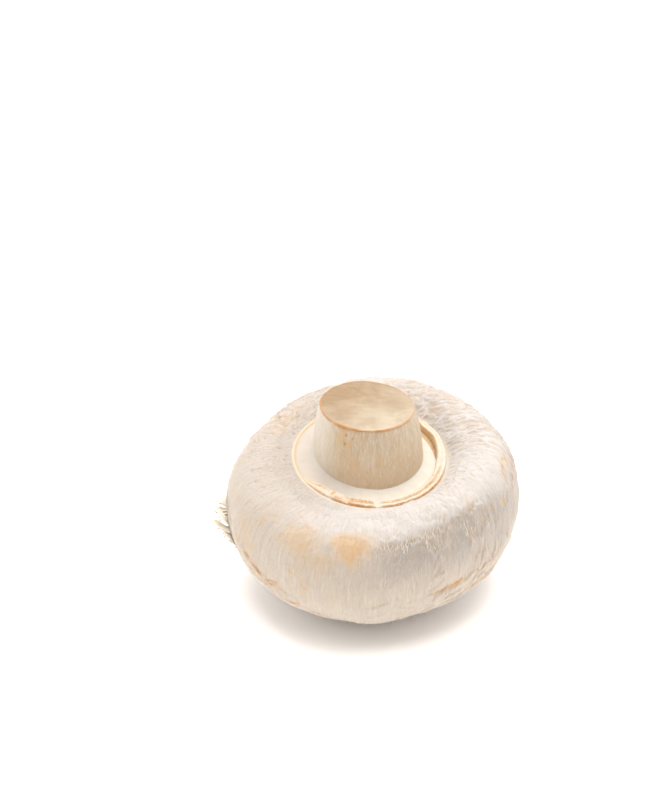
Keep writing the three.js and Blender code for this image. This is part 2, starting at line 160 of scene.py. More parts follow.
# ---- The veil and the stem, in millimetres: the stem's centre line at its foot and at its cut,
# how far its root goes down, the radius of its fibre space, the rounding under its cut, how deep
# the seat of the veil is at the stem, the space over it, and the veil's thickness and fillet ----
STEM_FOOT_SHIFT = (-1.1, -0.2)
STEM_CUT_SHIFT = (-1.9, 0.0)
STEM_ROOT = 3.0
STEM_FIBRES = 9
CUT_ROUNDING = 0.18
SEAT_DEPTH = 1.7
SEAT_CLEARANCE = 0.15
VEIL_THICKNESS = 0.9
FILLET_RISE = 1.15

# ---- Stains: angle, place, half width and half length in millimetres, strength ----
STAINS = table(
    "angle place width length amount",
    # the large orange patch at the front and its hot spots
    (-101, 1.60, 4.3, 4.0, 0.86),
    (-96, 1.66, 0.8, 1.1, 0.95),
    (-102, 1.70, 0.6, 0.7, 0.75),
    # the tan cloud on its left, with small orange spots and streaks
    (-122, 1.54, 4.0, 4.0, 0.66),
    (-122, 1.73, 0.7, 0.45, 0.75),
    (-119, 1.33, 0.9, 0.40, 0.75),
    (-110, 1.32, 2.2, 2.4, 0.65),
    (-143, 1.47, 0.4, 1.7, 0.85),
    (-132, 1.42, 0.4, 1.3, 0.90),
    (-154, 1.17, 0.5, 1.1, 0.85),
    (-152, 1.02, 0.6, 0.9, 0.80),
    (-145, 1.06, 1.5, 0.8, 0.60),
    (-164, 1.00, 0.5, 0.7, 0.65),
    (-150, 1.20, 2.8, 3.2, 0.42),
    (-118, 1.01, 0.25, 1.3, 0.60),
    # the right flank and rim
    (-56, 0.945, 2.7, 0.55, 0.95),
    (-40, 0.80, 1.3, 0.50, 0.80),
    (-21, 1.43, 0.5, 0.5, 0.80),
    (-30, 1.51, 0.7, 0.3, 0.80),
    (-2, 1.64, 0.7, 1.3, 0.95),
    (-11, 1.63, 0.5, 1.2, 0.85),
    (-62, 1.50, 0.9, 0.6, 0.45),
    (-40, 1.72, 0.8, 1.2, 0.35),
    # the back
    (150, 2.0, 7.0, 7.0, 0.36),
    (84, 1.30, 3.4, 3.0, 0.45),
    (128, 1.05, 3.0, 3.4, 0.50),
    (40, 1.20, 2.4, 2.8, 0.40),
    (150, 0.60, 4.0, 3.0, 0.35),
    (-40, 0.45, 4.5, 3.0, 0.30),
)
# the bruised bluish spot at the left edge of the orange patch
CHILL = dict(angle=-110, place=1.53, width=1.2, length=1.0)


# ---- Settings that a user would change ----


def length(name, description, millimetres):
    """A length property, given in millimetres and kept in metres."""
    return bpy.props.FloatProperty(
        name=name, description=description, default=millimetres * MM, unit="LENGTH", precision=5
    )


def tilt(name, description, degrees):
    """An angle property, given in degrees."""
    return bpy.props.FloatProperty(
        name=name, description=description, default=math.radians(degrees), subtype="ANGLE"
    )


def tint(name, description, colour):
    """A colour property."""
    return bpy.props.FloatVectorProperty(
        name=name, description=description, default=colour, size=3, subtype="COLOR", min=0, max=1
    )


def number(name, description, value):
    """A plain number property."""
    return bpy.props.FloatProperty(name=name, description=description, default=value, min=0)


class MushroomForm(bpy.types.PropertyGroup):
    """Sizes of the mushroom in its own frame, heights counted from the widest part of the cap."""

    cap_radius: length("Cap radius", "Radius of the cap at its widest part", 24.2)
    crown_depth: length("Crown depth", "From the widest part down to the crown", 18.5)
    shoulder_radius: length("Shoulder radius", "Radius of the ring that is highest", 17.3)
    shoulder_rise: length("Shoulder rise", "Height of the rolled shoulder", 10.6)
    squareness: number("Shoulder squareness", "2 is round, more is squarer", 2.2)
    margin_radius: length("Margin radius", "Radius of the cap's inner edge", 12.95)
    margin_rise: length("Margin rise", "Height of the cap's inner edge", 9.4)
    margin_shift: length("Margin shift", "How far the margin sits off the axis", -0.75)
    wall_depth: length("Wall depth", "How deep the margin's inner wall goes", 1.9)
    cut_radius: length("Cut radius", "Radius of the stem's cut face", 7.9)
    cut_rise: length("Cut rise", "Height of the stem's cut face", 20.6)
    cut_slope: tilt("Cut slope", "How far the cut is out of square", -8.8)
    foot_radius: length("Foot radius", "Radius of the stem where it meets the veil", 9.2)
    foot_rise: length("Foot rise", "Height where the stem meets the veil", 10.8)
    lean_front: tilt("Lean to the front", "How far the stem leans forward", 7.0)
    lean_right: tilt("Lean to the right", "How far the stem leans right", 2.7)
    flat_depth: length("Flat depth", "How far the crown is flattened where it rests", 0.4)


class MushroomFinish(bpy.types.PropertyGroup):
    """Colours of the mushroom's surfaces."""

    bloom: tint("Bloom", "The white felt on the shoulder", (0.485, 0.445, 0.412))
    flank: tint("Flank", "The pinkish cream of the sides", (0.425, 0.362, 0.305))
    pale: tint("Pale fibres", "The whitest fibres of the skin", (0.60, 0.55, 0.50))
    cream: tint("Cream", "The warm white of the lower side", (0.48, 0.41, 0.335))
    # painted shade: the grey for the band under the white felt, the cap's darker sides and the veil's
    # left side; the combed fibres' darker threads take it too
    dusk: tint("Dusk", "The greyer band under the white felt", (0.32, 0.28, 0.245))
    shred: tint("Shred", "Loose shreds of skin", (0.74, 0.66, 0.55))
    tan: tint("Tan", "Stained, dried skin", (0.50, 0.34, 0.18))
    rust: tint("Rust", "Crevices under torn edges", (0.40, 0.20, 0.075))
    shade: tint("Shade", "Hollows between the scales", (0.38, 0.28, 0.19))
    chill: tint("Chill", "A bruised bluish spot", (0.34, 0.32, 0.30))
    lip: tint("Lip", "The torn remnant on the margin", (0.53, 0.465, 0.385))
    veil: tint("Veil", "The smooth membrane", (0.60, 0.54, 0.465))
    stem: tint("Stem", "The side of the stem", (0.43, 0.335, 0.225))
    # painted light: a lighter, warmer colour for the lower stem, where it lies in shade by the veil
    foot: tint("Stem foot", "The warm lower part of the stem", (0.57, 0.415, 0.262))
    # the cut face runs from face to inside: painted shade darkens its back and left, and noise patches
    # give the flesh's own mottling
    face: tint("Cut face", "The cut flesh of the stem", (0.265, 0.180, 0.102))
    inside: tint("Pale cut face", "The paler patches of the cut flesh", (0.41, 0.34, 0.25))
    rim: tint("Cut rim", "The dried edge of the cut", (0.36, 0.17, 0.05))


class MushroomStage(bpy.types.PropertyGroup):
    """The floor, the light and the camera."""

    floor: tint("Floor", "The plain pale floor", (0.98, 0.955, 0.93))
    daylight: number("Daylight", "Strength of the even white surroundings", 1.05)
    overhead: number("Overhead", "Power of the large lamp above, in watts", 5.0)
    side: number("Side", "Power of each lamp at the sides, in watts", 0.3)
    elevation: tilt("Camera elevation", "How steeply the camera looks down", 33.0)
    distance: length("Camera distance", "From the middle of the cap along the view", 457.2)
    aside: length("Camera aside", "How far the view's centre passes the cap to the left", 6.336)
    above: length("Camera above", "How far the view's centre passes above the cap", 16.695)
    lens: number("Lens", "Focal length on a 36 mm frame", 120.0)


def sizes():
    """The form's lengths in millimetres and its angles in radians, by name."""
    form = bpy.context.scene.mushroom_form
    kept = {}
    for name in MushroomForm.__annotations__:
        value = getattr(form, name)
        is_length = form.bl_rna.properties[name].unit == "LENGTH"
        kept[name] = value / MM if is_length else value
    return kept


# ---- Repeatable noise: the last number of each call of noise or rough is its pattern's seed ----


def lattice(cell, seed):
    """Numbers from -1 to 1 for whole-number points, by multiplying and mixing their digits."""
    with np.errstate(over="ignore"):
        x, y, z = (cell[..., axis].astype(np.int64).astype(np.uint32) for axis in range(3))
        h = x * np.uint32(374761393) + y * np.uint32(668265263) + z * np.uint32(2246822519)
        h += np.uint32(seed * 3266489917 & 0xFFFFFFFF)
        h = (h ^ (h >> np.uint32(15))) * np.uint32(2246822519)
        h = (h ^ (h >> np.uint32(13))) * np.uint32(3266489917)
        h ^= h >> np.uint32(16)
    return h.astype(float) / 2147483647.5 - 1


def noise(point, seed=0):
    """Smooth noise from -1 to 1: the lattice numbers at a cell's eight corners, eased between."""
    cell = np.floor(point)
    part = point - cell
    ease = part * part * part * (part * (part * 6 - 15) + 10)
    total = 0
    for corner in range(8):
        step = np.array([corner & 1, corner >> 1 & 1, corner >> 2 & 1])
        share = np.where(step, ease, 1 - ease).prod(-1)
        total = total + share * lattice(cell + step, seed)
    return total


def rough(point, octaves=3, seed=0):
    """Several noises added, each twice as fine and half as strong as the last."""
    total = sum(noise(point * 2**octave, seed + octave) / 2**octave for octave in range(octaves))
    return total / 1.6


def steps(value, low, high):
    """0 below low, 1 above high, eased between."""
    share = np.clip((value - low) / (high - low), 0, 1)
    return share * share * (3 - 2 * share)


def mix(low, high, share):
    """The value a share of the way from low to high."""
    return low + (high - low) * share


def stack(*parts):
    """Arrays joined as the coordinates of points."""
    return np.stack(np.broadcast_arrays(*parts), -1)


def share_round(angle, start, stop):
    """How far an angle has gone from start to stop in degrees: 0 to 1 between them."""
    return ((np.degrees(angle) - start + 60) % 360 - 60) / (stop - start)


def full_turn(turns):
    """Evenly spaced angles round the axis, from the left side on."""
    return np.arange(turns) / turns * TURN - np.pi


def facing(angle, middle, half):
    """1 at an angle, easing to 0 at half on either side, in degrees."""
    away = np.abs((np.degrees(angle) - middle + 180) % 360 - 180)
    return steps(half - away, 0, half * 0.6)


def bell(away, width):
    """A bell curve: 1 in its middle, falling to about a third at one width."""
    return np.exp(-((away / width) ** 2))


# ---- The smooth form of the cap ----


def wave(terms, angle):
    """The sum of cosines and sines round the axis."""
    return sum(c * np.cos(turns * angle) + s * np.sin(turns * angle) for turns, c, s in terms)


def cap_outline(size, place):
    """Radius, height and tilt share at a place along the skin.

    An ellipse from the crown to the widest part, a squarer quarter up to the shoulder's ring,
    then a parabola down to the margin.
    """
    crown = np.clip(place, 0, 1) * np.pi / 2
    bend = np.clip(place - 1, 0, 1) * np.pi / 2
    inward = np.clip(place - 2, 0, 1.2)
    power = 2 / size["squareness"]
    out = np.maximum(np.cos(bend), 0) ** power
    radius = np.where(
        place <= 1,
        size["cap_radius"] * np.sin(crown),
        mix(size["shoulder_radius"], size["cap_radius"], out),
    )
    radius = np.where(
        place > 2, mix(size["shoulder_radius"], size["margin_radius"], inward), radius
    )
    rise = np.where(
        place <= 1,
        -size["crown_depth"] * np.cos(crown),
        size["shoulder_rise"] * np.sin(bend) ** power,
    )
    rise = np.where(
        place > 2, mix(size["shoulder_rise"], size["margin_rise"], inward**2), rise
    )
    tilt_share = np.where(place <= 1, 0, np.sin(bend) ** 2)
    tilt_share = np.where(place > 2, 1 - inward**2, tilt_share)
    return radius, rise, tilt_share


def smooth_skin(size, place, angle):
    """The skin before tears: the outline turned round the axis, lobed, higher on the right."""
    radius, rise, tilt_share = cap_outline(size, place)
    spare = size["cap_radius"] - size["margin_radius"]
    lobing = np.where(
        place <= 1, radius / size["cap_radius"], (radius - size["margin_radius"]) / spare
    )
    lobed = radius * (1 + lobing * wave(CAP_LOBES, angle))
    shift = size["margin_shift"] * np.clip(place - 2, 0, 1)
    return stack(
        lobed * np.cos(angle) + shift,
        lobed * np.sin(angle),
        rise + tilt_share * wave(SHOULDER_TILT, angle),
    )


def unit(vector):
    """Vectors scaled to length one."""
    return vector / np.maximum(np.linalg.norm(vector, axis=-1, keepdims=True), 1e-9)


def skin_normal(size, place, angle):
    """The outward direction: round the axis crossed with along the skin."""
    step = 0.01
    middle = np.clip(place, 2 * step, 3 - step)
    around = smooth_skin(size, middle, angle + step) - smooth_skin(size, middle, angle - step)
    along = smooth_skin(size, middle + step, angle) - smooth_skin(size, middle - step, angle)
    return unit(np.cross(around, along))


def off_skin(size, place, angle, height):
    """Points that stand a height off the smooth skin."""
    outward = np.asarray(height)[..., None] * skin_normal(size, place, angle)
    return smooth_skin(size, place, angle) + outward


def skin_length(place):
    """Millimetres of skin for one whole place."""
    return np.where(np.asarray(place) < 1, CROWN_MM, SHOULDER_MM)


def skin_along(place):
    """Millimetres along the skin from the widest part, less than 0 on the crown's side."""
    return np.where(place < 1, (place - 1) * CROWN_MM, (place - 1) * SHOULDER_MM)


def fibre_space(size, place, angle, stretch):
    """Points for noise that runs along the fibres: a cylinder of the cap's radius, with the
    distance along the skin squeezed by stretch."""
    along = skin_along(place) / stretch
    return stack(size["cap_radius"] * np.cos(angle), size["cap_radius"] * np.sin(angle), along)


# ---- Relief of the skin ----


def tear_edge(tear, way):
    """Where a tear's free edge runs: a slanting line with scallops."""
    scallop = np.abs(np.sin(np.pi * tear["scallops"] * way))
    return mix(*tear["place"], way) + SCALLOP_DEPTH * scallop


def ragged_edge(size, tear, way, angle):
    """The free edge with its finer raggedness: the scalloped line pushed about by noise."""
    edge = tear_edge(tear, way)
    nibble = rough(fibre_space(size, edge, angle, 3) * 0.9, 3, 21)
    return edge + 0.9 * nibble / skin_length(edge)


def tear_relief(size, place, angle):
    """How far torn skin stands proud, and how deep in a brown crevice each point lies.

    The height is full at a free edge, falls off slowly towards the crown and sharply the other way.
    """
    height = np.zeros(np.broadcast(place, angle).shape)
    crevice = np.zeros_like(height)
    for tear in TEARS:
        way = share_round(angle, tear["start"], tear["stop"])
        inside = (way > 0) & (way < 1)
        way = np.clip(way, 0, 1)
        behind = (ragged_edge(size, tear, way, angle) - place) * skin_length(place)
        opening = np.sqrt(np.sin(np.pi * way)) * inside
        fall = np.where(
            behind > 0,
            np.exp(-np.maximum(behind, 0) / TEAR_FADE),
            np.exp(np.minimum(behind, 0) / TEAR_DROP),
        )
        height += tear["lift"] * opening * fall
        under = bell(behind + 0.25, 0.3)
        crevice = np.maximum(crevice, tear["brown"] * opening * under)
    return height * np.clip(place / 0.4, 0, 1), crevice


def dried_lines(size, place, angle):
    """Strength of the thin dried lines: for each stroke the distance to its nearest side, in
    millimetres on the unrolled skin pushed about by noise, set against its half width."""
    point = fibre_space(size, place, angle, 1)
    across = angle * size["cap_radius"] + 0.5 * rough(point * 0.9, 3, 141)
    along = skin_along(place) + 0.5 * rough(point * 0.9, 3, 143)
    total = np.zeros(np.broadcast(place, angle).shape)
    for stroke in STROKES:
        turn, where = np.array(stroke["path"]).T
        corners = np.stack([np.radians(turn) * size["cap_radius"], skin_along(where)], 1)
        for (u0, v0), (u1, v1) in zip(corners[:-1], corners[1:]):
            run = np.array([u1 - u0, v1 - v0])
            way = np.clip(((across - u0) * run[0] + (along - v0) * run[1]) / (run @ run), 0, 1)
            away = np.hypot(across - u0 - way * run[0], along - v0 - way * run[1])
            total = np.maximum(total, stroke["amount"] * bell(away, stroke["width"]))
    broken = steps(rough(point * 0.8, 3, 145), -0.45, 0.1)
    return total * mix(0.25, 1, broken)


def swell(place, angle):
    """Soft swells of the flesh: three slow waves that fade at the crown and the margin."""
    fade = np.clip(place / 0.5, 0, 1) * np.clip((3 - place) / 0.8, 0, 1)
    broad = np.sin(3 * angle + 5 * place) + np.sin(5 * angle - 7 * place + 1)
    return 0.07 * fade * (broad + np.sin(9 * angle + 11 * place + 2))


def feathers(size, place, angle, long, seed):
    """A layer of overlapping feathery scales as (height, painted highlight along the free edge,
    painted shade past the edge).

    A saw tooth runs along the skin. Slow noise wanders it, creased noise breaks it into pointed
    scales and fibrous noise frays its edges. Patches of it are left out.
    """
    wander = 2.2 * rough(fibre_space(size, place, angle, 1.5) * 0.30, 2, seed)
    crease = 3.4 * np.abs(noise(fibre_space(size, place, angle, 4) * 0.42, seed + 3))
    fray = 0.5 * rough(fibre_space(size, place, angle, 10) * 2.4, 2, seed + 5)
    tooth = (skin_along(place) + wander - crease + fray) / long % 1
    patch = steps(rough(fibre_space(size, place, angle, 1.8) * 0.27, 2, seed + 9), -0.12, 0.25)
    drop = steps(1 - tooth, 0, 0.35 / long)
    height = patch * tooth**1.7 * drop
    # painted highlight: lighter along the free edge
    edge = patch * steps(tooth, 1 - 0.8 / long, 1 - 0.3 / long) * drop
    # painted shade: darker just past the free edge
    hollow = patch * np.exp(-tooth * long / 0.55)
    return height, edge, hollow


def roughness_of_skin(place, angle):
    """How strongly the feathery scales stand, from 0 to 1: most at the front right and the back,
    least on the smooth crown and over the stains at the front left."""
    right = facing(angle, -52, 52)
    back = facing(angle, 80, 120)
    body = 0.22 + 0.78 * np.maximum(right, 0.8 * back)
    return body * steps(place, 0.5, 1.0) * (1 - 0.35 * steps(place, 1.6, 1.9))


def combed(size, place, angle):
    """Long wavy locks at the back right of the ring, combed to the right: creased noise, drawn out
    along X and bent by slow noise. Gives (height, painted shade between the locks, their area), each
    from 0 to 1."""
    point = smooth_skin(size, place, angle)
    bend = rough(point * 0.22, 2, 25)
    where = point * np.array([0.30, 1.45, 0.8])
    where[..., 1] += 1.5 * bend
    crest = 1 - np.abs(rough(where, 3, 29)) * 2.8
    crest = np.clip(crest, 0, 1)
    area = facing(angle, 42, 62) * steps(place, 1.35, 1.65) * steps(2.97 - place, 0, 0.15)
    return area * crest**1.2, area * steps(0.35 - crest, 0, 0.3), area


def pitted(size, place, angle):
    """Small slanting pits at the left of the ring, as depth from 0 to 1."""
    point = smooth_skin(size, place, angle)
    x, y, z = np.moveaxis(point, -1, 0)
    slanted = stack(0.95 * x - 0.3 * y, 0.3 * x + 0.95 * y, z)
    field = rough(slanted * np.array([2.6, 1.1, 1.6]), 2, 17)
    area = facing(angle, 155, 75) * steps(place, 1.4, 1.7) * steps(2.95 - place, 0, 0.2)
    return steps(field, 0.20, 0.52) * area


def border_place(angle):
    """The place of the felt's lower border before its raggedness."""
    return 1.58 + 0.08 * facing(angle, -52, 40) - 0.10 * facing(angle, 180, 60)


def felt_border(size, place, angle):
    """1 on the white felt of the shoulder, 0 on the flank: its ragged lower border lies higher at
    the front right."""
    line = border_place(angle)
    scallop = 0.09 * rough(fibre_space(size, place, angle, 1.3) * 0.45, 3, 43)
    fray = 0.025 * rough(fibre_space(size, place, angle, 5) * 2.0, 2, 45)
    sharp = 0.10 + 0.17 * (1 - facing(angle, -66, 50))
    return steps(place + scallop + fray - line, -sharp, sharp)


def fine_relief(size, place, angle):
    """Fibres, feathery scales, combed locks, pits and lumps of the skin's surface as (height in
    millimetres, marks); the marks carry a painted highlight on scale edges and lock crests and a
    painted shade in the hollows."""
    fade = np.clip(place / 0.3, 0, 1)
    fibres = rough(fibre_space(size, place, angle, 9) * 1.6, 3, 1)
    felt = rough(fibre_space(size, place, angle, 1.3) * 1.5, 3, 5)
    lumps = rough(fibre_space(size, place, angle, 1.8) * 0.40, 3, 7)
    slow = rough(fibre_space(size, place, angle, 2) * 0.16, 2, 9)
    amount = roughness_of_skin(place, angle)
    large, large_painted_highlight, large_painted_shade = feathers(size, place, angle, 4.2, 101)
    small, small_painted_highlight, small_painted_shade = feathers(size, place, angle, 2.3, 131)
    locks, between, lock_area = combed(size, place, angle)
    pits = pitted(size, place, angle)
    top = steps(place, 1.4, 1.8)
    height = 0.08 * fibres + (0.05 + 0.05 * top) * felt + 0.10 * lumps + 0.10 * slow
    height = height + amount * (1 - 0.7 * lock_area) * (0.42 * large + 0.26 * small)
    felted = felt_border(size, place, angle)
    trough = facing(angle, -66, 45) * steps(place, 1.40, 1.52) * (1 - felted)
    dried = dried_lines(size, place, angle)
    height = height - 0.10 * trough - 0.18 * pits + 0.32 * (locks - 0.4 * lock_area) - 0.16 * dried
    # painted shade: darker past the scales' edges, between the locks, in the pits and along the trough
    hollow = amount * np.maximum(large_painted_shade, 0.6 * small_painted_shade)
    hollow = hollow + 0.5 * between + 0.5 * pits + 0.12 * trough
    marks = {
        # painted highlight: lighter along the scales' free edges and on the crests of the locks
        "edge": amount * np.maximum(large_painted_highlight, 0.7 * small_painted_highlight) + 0.5 * locks,
        "hollow": np.clip(hollow, 0, 1),
        "felted": felted,
        "dried": dried,
    }
    return fade * height, marks


# ---- The ring ----


def remnant(angle):
    """The torn remnant on the margin as (1 where it stands, eased to 0 at its ends, the share of
    its length that an angle has come)."""
    way = share_round(angle, REMNANT["start"], REMNANT["stop"])
    ends = np.clip(way / 0.08, 0, 1) * np.clip((1 - way) / 0.1, 0, 1)
    return np.where((way > 0) & (way < 1), ends, 0), way


def gape(angle):
    """How far the lip's wall stands away from the veil at the back right: half a sine."""
    way = np.clip(share_round(angle, GAPE["start"], GAPE["stop"]), 0, 1)
    return GAPE["width"] * np.sin(np.pi * way)


def lip_width(angle):
    """How far the remnant reaches in from the margin."""
    return mix(LIP["least"], LIP["most"], remnant(angle)[0]) - gape(angle)


def lip_rise(size, angle):
    """The remnant's height: a plain rise, a crest at the back right, a notch, and raggedness."""
    stands, way = remnant(angle)
    crest = bell(way - REMNANT["crest"], 0.14)
    notch = bell(way - REMNANT["notch"], 0.015)
    point = fibre_space(size, 3.0, angle, 1)
    ragged = 0.05 * np.sin(17 * angle) + 0.03 * np.sin(31 * angle + 1)
    ragged = ragged + 0.16 * rough(point * 0.8, 3, 33)
    ragged = ragged + 0.24 * facing(angle, -120, 34) * rough(point * 0.9, 3, 35)
    return stands * (1 - 0.8 * notch) * (LIP["rise"] + LIP["crest"] * crest + ragged)


def seat_rise(size, way):
    """Height of the cap under the veil, from its wall (0) to the stem (1)."""
    wall_foot = size["margin_rise"] - size["wall_depth"]
    return mix(wall_foot, size["foot_rise"] - SEAT_DEPTH, way**1.3)


def stem_shift(size, rise):
    """The stem's centre line: it leans from its foot to its cut."""
    up = (rise - size["foot_rise"]) / (size["cut_rise"] - size["foot_rise"])
    return tuple(mix(*ends, up) for ends in zip(STEM_FOOT_SHIFT, STEM_CUT_SHIFT))


# ---- Lying on the crown ----


def lying(size):
    """The lying frame as (three axes in rows, the cap's middle): the lowest point of the leaning
    ellipsoid comes over the origin, sunk by the flat spot."""
    axis = np.array(
        [
            math.sin(size["lean_right"]),
            -math.sin(size["lean_front"]) * math.cos(size["lean_right"]),
            math.cos(size["lean_front"]) * math.cos(size["lean_right"]),
        ]
    )
    right = unit(np.cross([0, 1, 0], axis))
    back = np.cross(axis, right)
    spread = size["cap_radius"] ** 2 - size["crown_depth"] ** 2
    reach = math.sqrt(size["cap_radius"] ** 2 - spread * axis[2] ** 2)
    offset = spread * axis[2] / reach
    middle = np.array([-offset * axis[0], -offset * axis[1], reach - size["flat_depth"]])
    return np.stack([right, back, axis]), middle


def lay_down(size, points):
    """Points of the mushroom's own frame as it lies, with none under the floor."""
    axes, middle = lying(size)
    placed = points @ axes + middle
    placed[..., 2] = np.maximum(placed[..., 2], 0)
    return placed


# ---- Meshes ----


def make_mesh(name, points, quads, triangles=None):
    """A smooth mesh object at the origin from points in millimetres and arrays of corners."""
    triangles = np.zeros((0, 3), int) if triangles is None else triangles
    corners = np.concatenate([quads.ravel(), triangles.ravel()]).astype(np.int32)
    counts = np.concatenate([np.full(len(quads), 4), np.full(len(triangles), 3)])
    starts = np.concatenate([[0], np.cumsum(counts)[:-1]]).astype(np.int32)
    mesh = bpy.data.meshes.new(name)
    mesh.vertices.add(len(points))
    mesh.vertices.foreach_set("co", (points * MM).astype(np.float32).ravel())
    mesh.loops.add(len(corners))
    mesh.loops.foreach_set("vertex_index", corners)
    mesh.polygons.add(len(starts))
    mesh.polygons.foreach_set("loop_start", starts)
    mesh.polygons.foreach_set("use_smooth", np.ones(len(starts), bool))
    mesh.update(calc_edges=True)
    mesh.validate()
    piece = bpy.data.objects.new(name, mesh)
    bpy.context.scene.collection.objects.link(piece)
    return piece


def paint(piece, name, values):
    """Puts numbers or vectors on the vertices as a named attribute."""
    is_vector = values.ndim == 2
    layer = piece.data.attributes.new(name, "FLOAT_VECTOR" if is_vector else "FLOAT", "POINT")
    layer.data.foreach_set("vector" if is_vector else "value", values.astype(np.float32).ravel())


def turned_faces(rows, turns):
    """Corners of a body turned round an axis, closed at both poles: the first and last vertex are
    the poles, and the rings lie between."""
    ring = np.arange(turns)
    after = (ring + 1) % turns
    base = 1 + turns * np.arange(rows - 3)[:, None]
    quads = np.stack([base + ring, base + after, base + turns + after, base + turns + ring], -1)
    last_ring = 1 + turns * (rows - 3)
    pole = last_ring + turns
    foot = np.stack([np.zeros(turns, int), 1 + after, 1 + ring], -1)
    head = np.stack([np.full(turns, pole), last_ring + ring, last_ring + after], -1)
    return quads.reshape(-1, 4), np.concatenate([foot, head])


def ring_values(grid):
    """Grid values as a list of vertices: one for each pole and all of the rings between."""
    body = grid[1:-1].reshape(-1, *grid.shape[2:])
    return np.concatenate([grid[:1, 0], body, grid[-1:, 0]])


def turned_piece(name, grid, marks):
    """A turned, closed piece from a grid of points and grids of marks."""
    quads, triangles = turned_faces(*grid.shape[:2])
    piece = make_mesh(name, ring_values(grid), quads, triangles)
    for mark, values in marks.items():
        paint(piece, mark, ring_values(values))
    return piece


def pillow_faces(rows, columns):
    """Corners of a thin closed blade: an upper grid of vertices, then the lower grid's inner ones,
    which share the upper grid's border."""
    upper = np.arange(rows * columns).reshape(rows, columns)
    lower = upper.copy()
    inner = np.arange((rows - 2) * (columns - 2)).reshape(rows - 2, columns - 2)
    lower[1:-1, 1:-1] = rows * columns + inner

    def cells(grid):
        corners = (grid[:-1, :-1], grid[:-1, 1:], grid[1:, 1:], grid[1:, :-1])
        return np.stack(corners, -1).reshape(-1, 4)

    return np.concatenate([cells(upper), cells(lower)[:, ::-1]])


def pillow_values(upper, lower):
    """The vertices of blades, given as arrays of blade, row and column."""
    count = len(upper)
    tail = upper.shape[3:]
    return np.concatenate(
        [upper.reshape(count, -1, *tail), lower[:, 1:-1, 1:-1].reshape(count, -1, *tail)], 1
    )


def blade_piece(name, size, upper, lower, marks):
    """Many thin blades as one piece. Marks are arrays of blade, row and column."""
    count, rows, columns = upper.shape[:3]
    points = pillow_values(upper, lower)
    faces = pillow_faces(rows, columns)
    quads = (np.arange(count)[:, None, None] * points.shape[1] + faces).reshape(-1, 4)
    piece = make_mesh(name, lay_down(size, points.reshape(-1, 3)), quads)
    for mark, values in marks.items():
        kept = pillow_values(values, values)
        paint(piece, mark, kept.reshape(-1, *values.shape[3:]))
    return piece


def finish_piece(piece, material, replaced=None):
    """Gives a piece its material and ties it to the frame."""
    piece.data.materials.append(material)
    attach(piece, BODY)
    if replaced:
        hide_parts(replaced)


# ---- Materials ----


class Nodes:
    """Shorthand for building a material's nodes."""

    def __init__(self, name):
        """A new material with only its output."""
        self.material = bpy.data.materials.new(name)
        self.material.use_nodes = True
        self.tree = self.material.node_tree
        self.tree.nodes.clear()

    def add(self, kind, inputs=None, **settings):
        """A node with its settings, and inputs given as values or as sockets to link."""
        node = self.tree.nodes.new(kind)
        for name, value in settings.items():
            setattr(node, name, value)
        for key, value in (inputs or {}).items():
            if isinstance(value, bpy.types.NodeSocket):
                self.tree.links.new(value, node.inputs[key])
            else:
                node.inputs[key].default_value = value
        return node

    def mark(self, name, vector=False):
        """A vertex attribute."""
        node = self.add("ShaderNodeAttribute", attribute_name=name)
        return node.outputs["Vector" if vector else "Fac"]

    def noise(self, vector, scale, detail=3.0, roughness=0.55):
        """Noise from 0 to 1."""
        values = {"Vector": vector, "Scale": scale, "Detail": detail, "Roughness": roughness}
        return self.add("ShaderNodeTexNoise", values).outputs["Fac"]

    def stretch(self, vector, scale):
        """A vector scaled by three numbers."""
        return self.add("ShaderNodeMapping", {"Vector": vector, "Scale": scale}).outputs["Vector"]

    def ramp(self, value, low, high, to_low=0.0, to_high=1.0):
        """A value eased from one range to another, held at its ends."""
        limits = {"From Min": low, "From Max": high, "To Min": to_low, "To Max": to_high}
        node = self.add(
            "ShaderNodeMapRange", {"Value": value, **limits}, interpolation_type="SMOOTHSTEP"
        )
        return node.outputs["Result"]

    def math(self, operation, first, second):
        """Two numbers put together."""
        return self.add("ShaderNodeMath", {0: first, 1: second}, operation=operation).outputs[0]

    def times(self, first, second):
        """Two numbers multiplied."""
        return self.math("MULTIPLY", first, second)

    def blend(self, share, first, second):
        """A colour between two colours."""
        first = first if isinstance(first, bpy.types.NodeSocket) else (*first, 1)
        second = second if isinstance(second, bpy.types.NodeSocket) else (*second, 1)
        values = {"Factor": share, "A": first, "B": second}
        node = self.tree.nodes.new("ShaderNodeMix")
        node.data_type = "RGBA"
        sockets = {s.name: s for s in node.inputs if s.type == "RGBA"}
        sockets["Factor"] = node.inputs[0]
        for key, value in values.items():
            if isinstance(value, bpy.types.NodeSocket):
                self.tree.links.new(value, sockets[key])
            else:
                sockets[key].default_value = value
        return next(s for s in node.outputs if s.type == "RGBA")

    def bump(self, height, distance, strength=1.0, normal=None):
        """A bump from a height, its full depth given in metres."""
        values = {"Height": height, "Distance": distance, "Strength": strength}
        if normal:
            values["Normal"] = normal
        return self.add("ShaderNodeBump", values).outputs["Normal"]

    def flesh(self, colour, roughness, normal, depth, sheen):
        """The moist, faintly see-through surface that every part of a mushroom has."""
        surface = self.add(
            "ShaderNodeBsdfPrincipled",
            {
                "Base Color": colour,
                "Roughness": roughness,
                "Normal": normal,
                "IOR": 1.4,
                "Specular IOR Level": 0.35,
                "Subsurface Weight": 1.0 if depth else 0.0,
                "Subsurface Radius": (1.0, 0.72, 0.5),
                "Subsurface Scale": depth,
                "Sheen Weight": sheen,
                "Sheen Roughness": 0.6,
            },
        )
        self.add("ShaderNodeOutputMaterial", {"Surface": surface.outputs[0]})
        return self.material


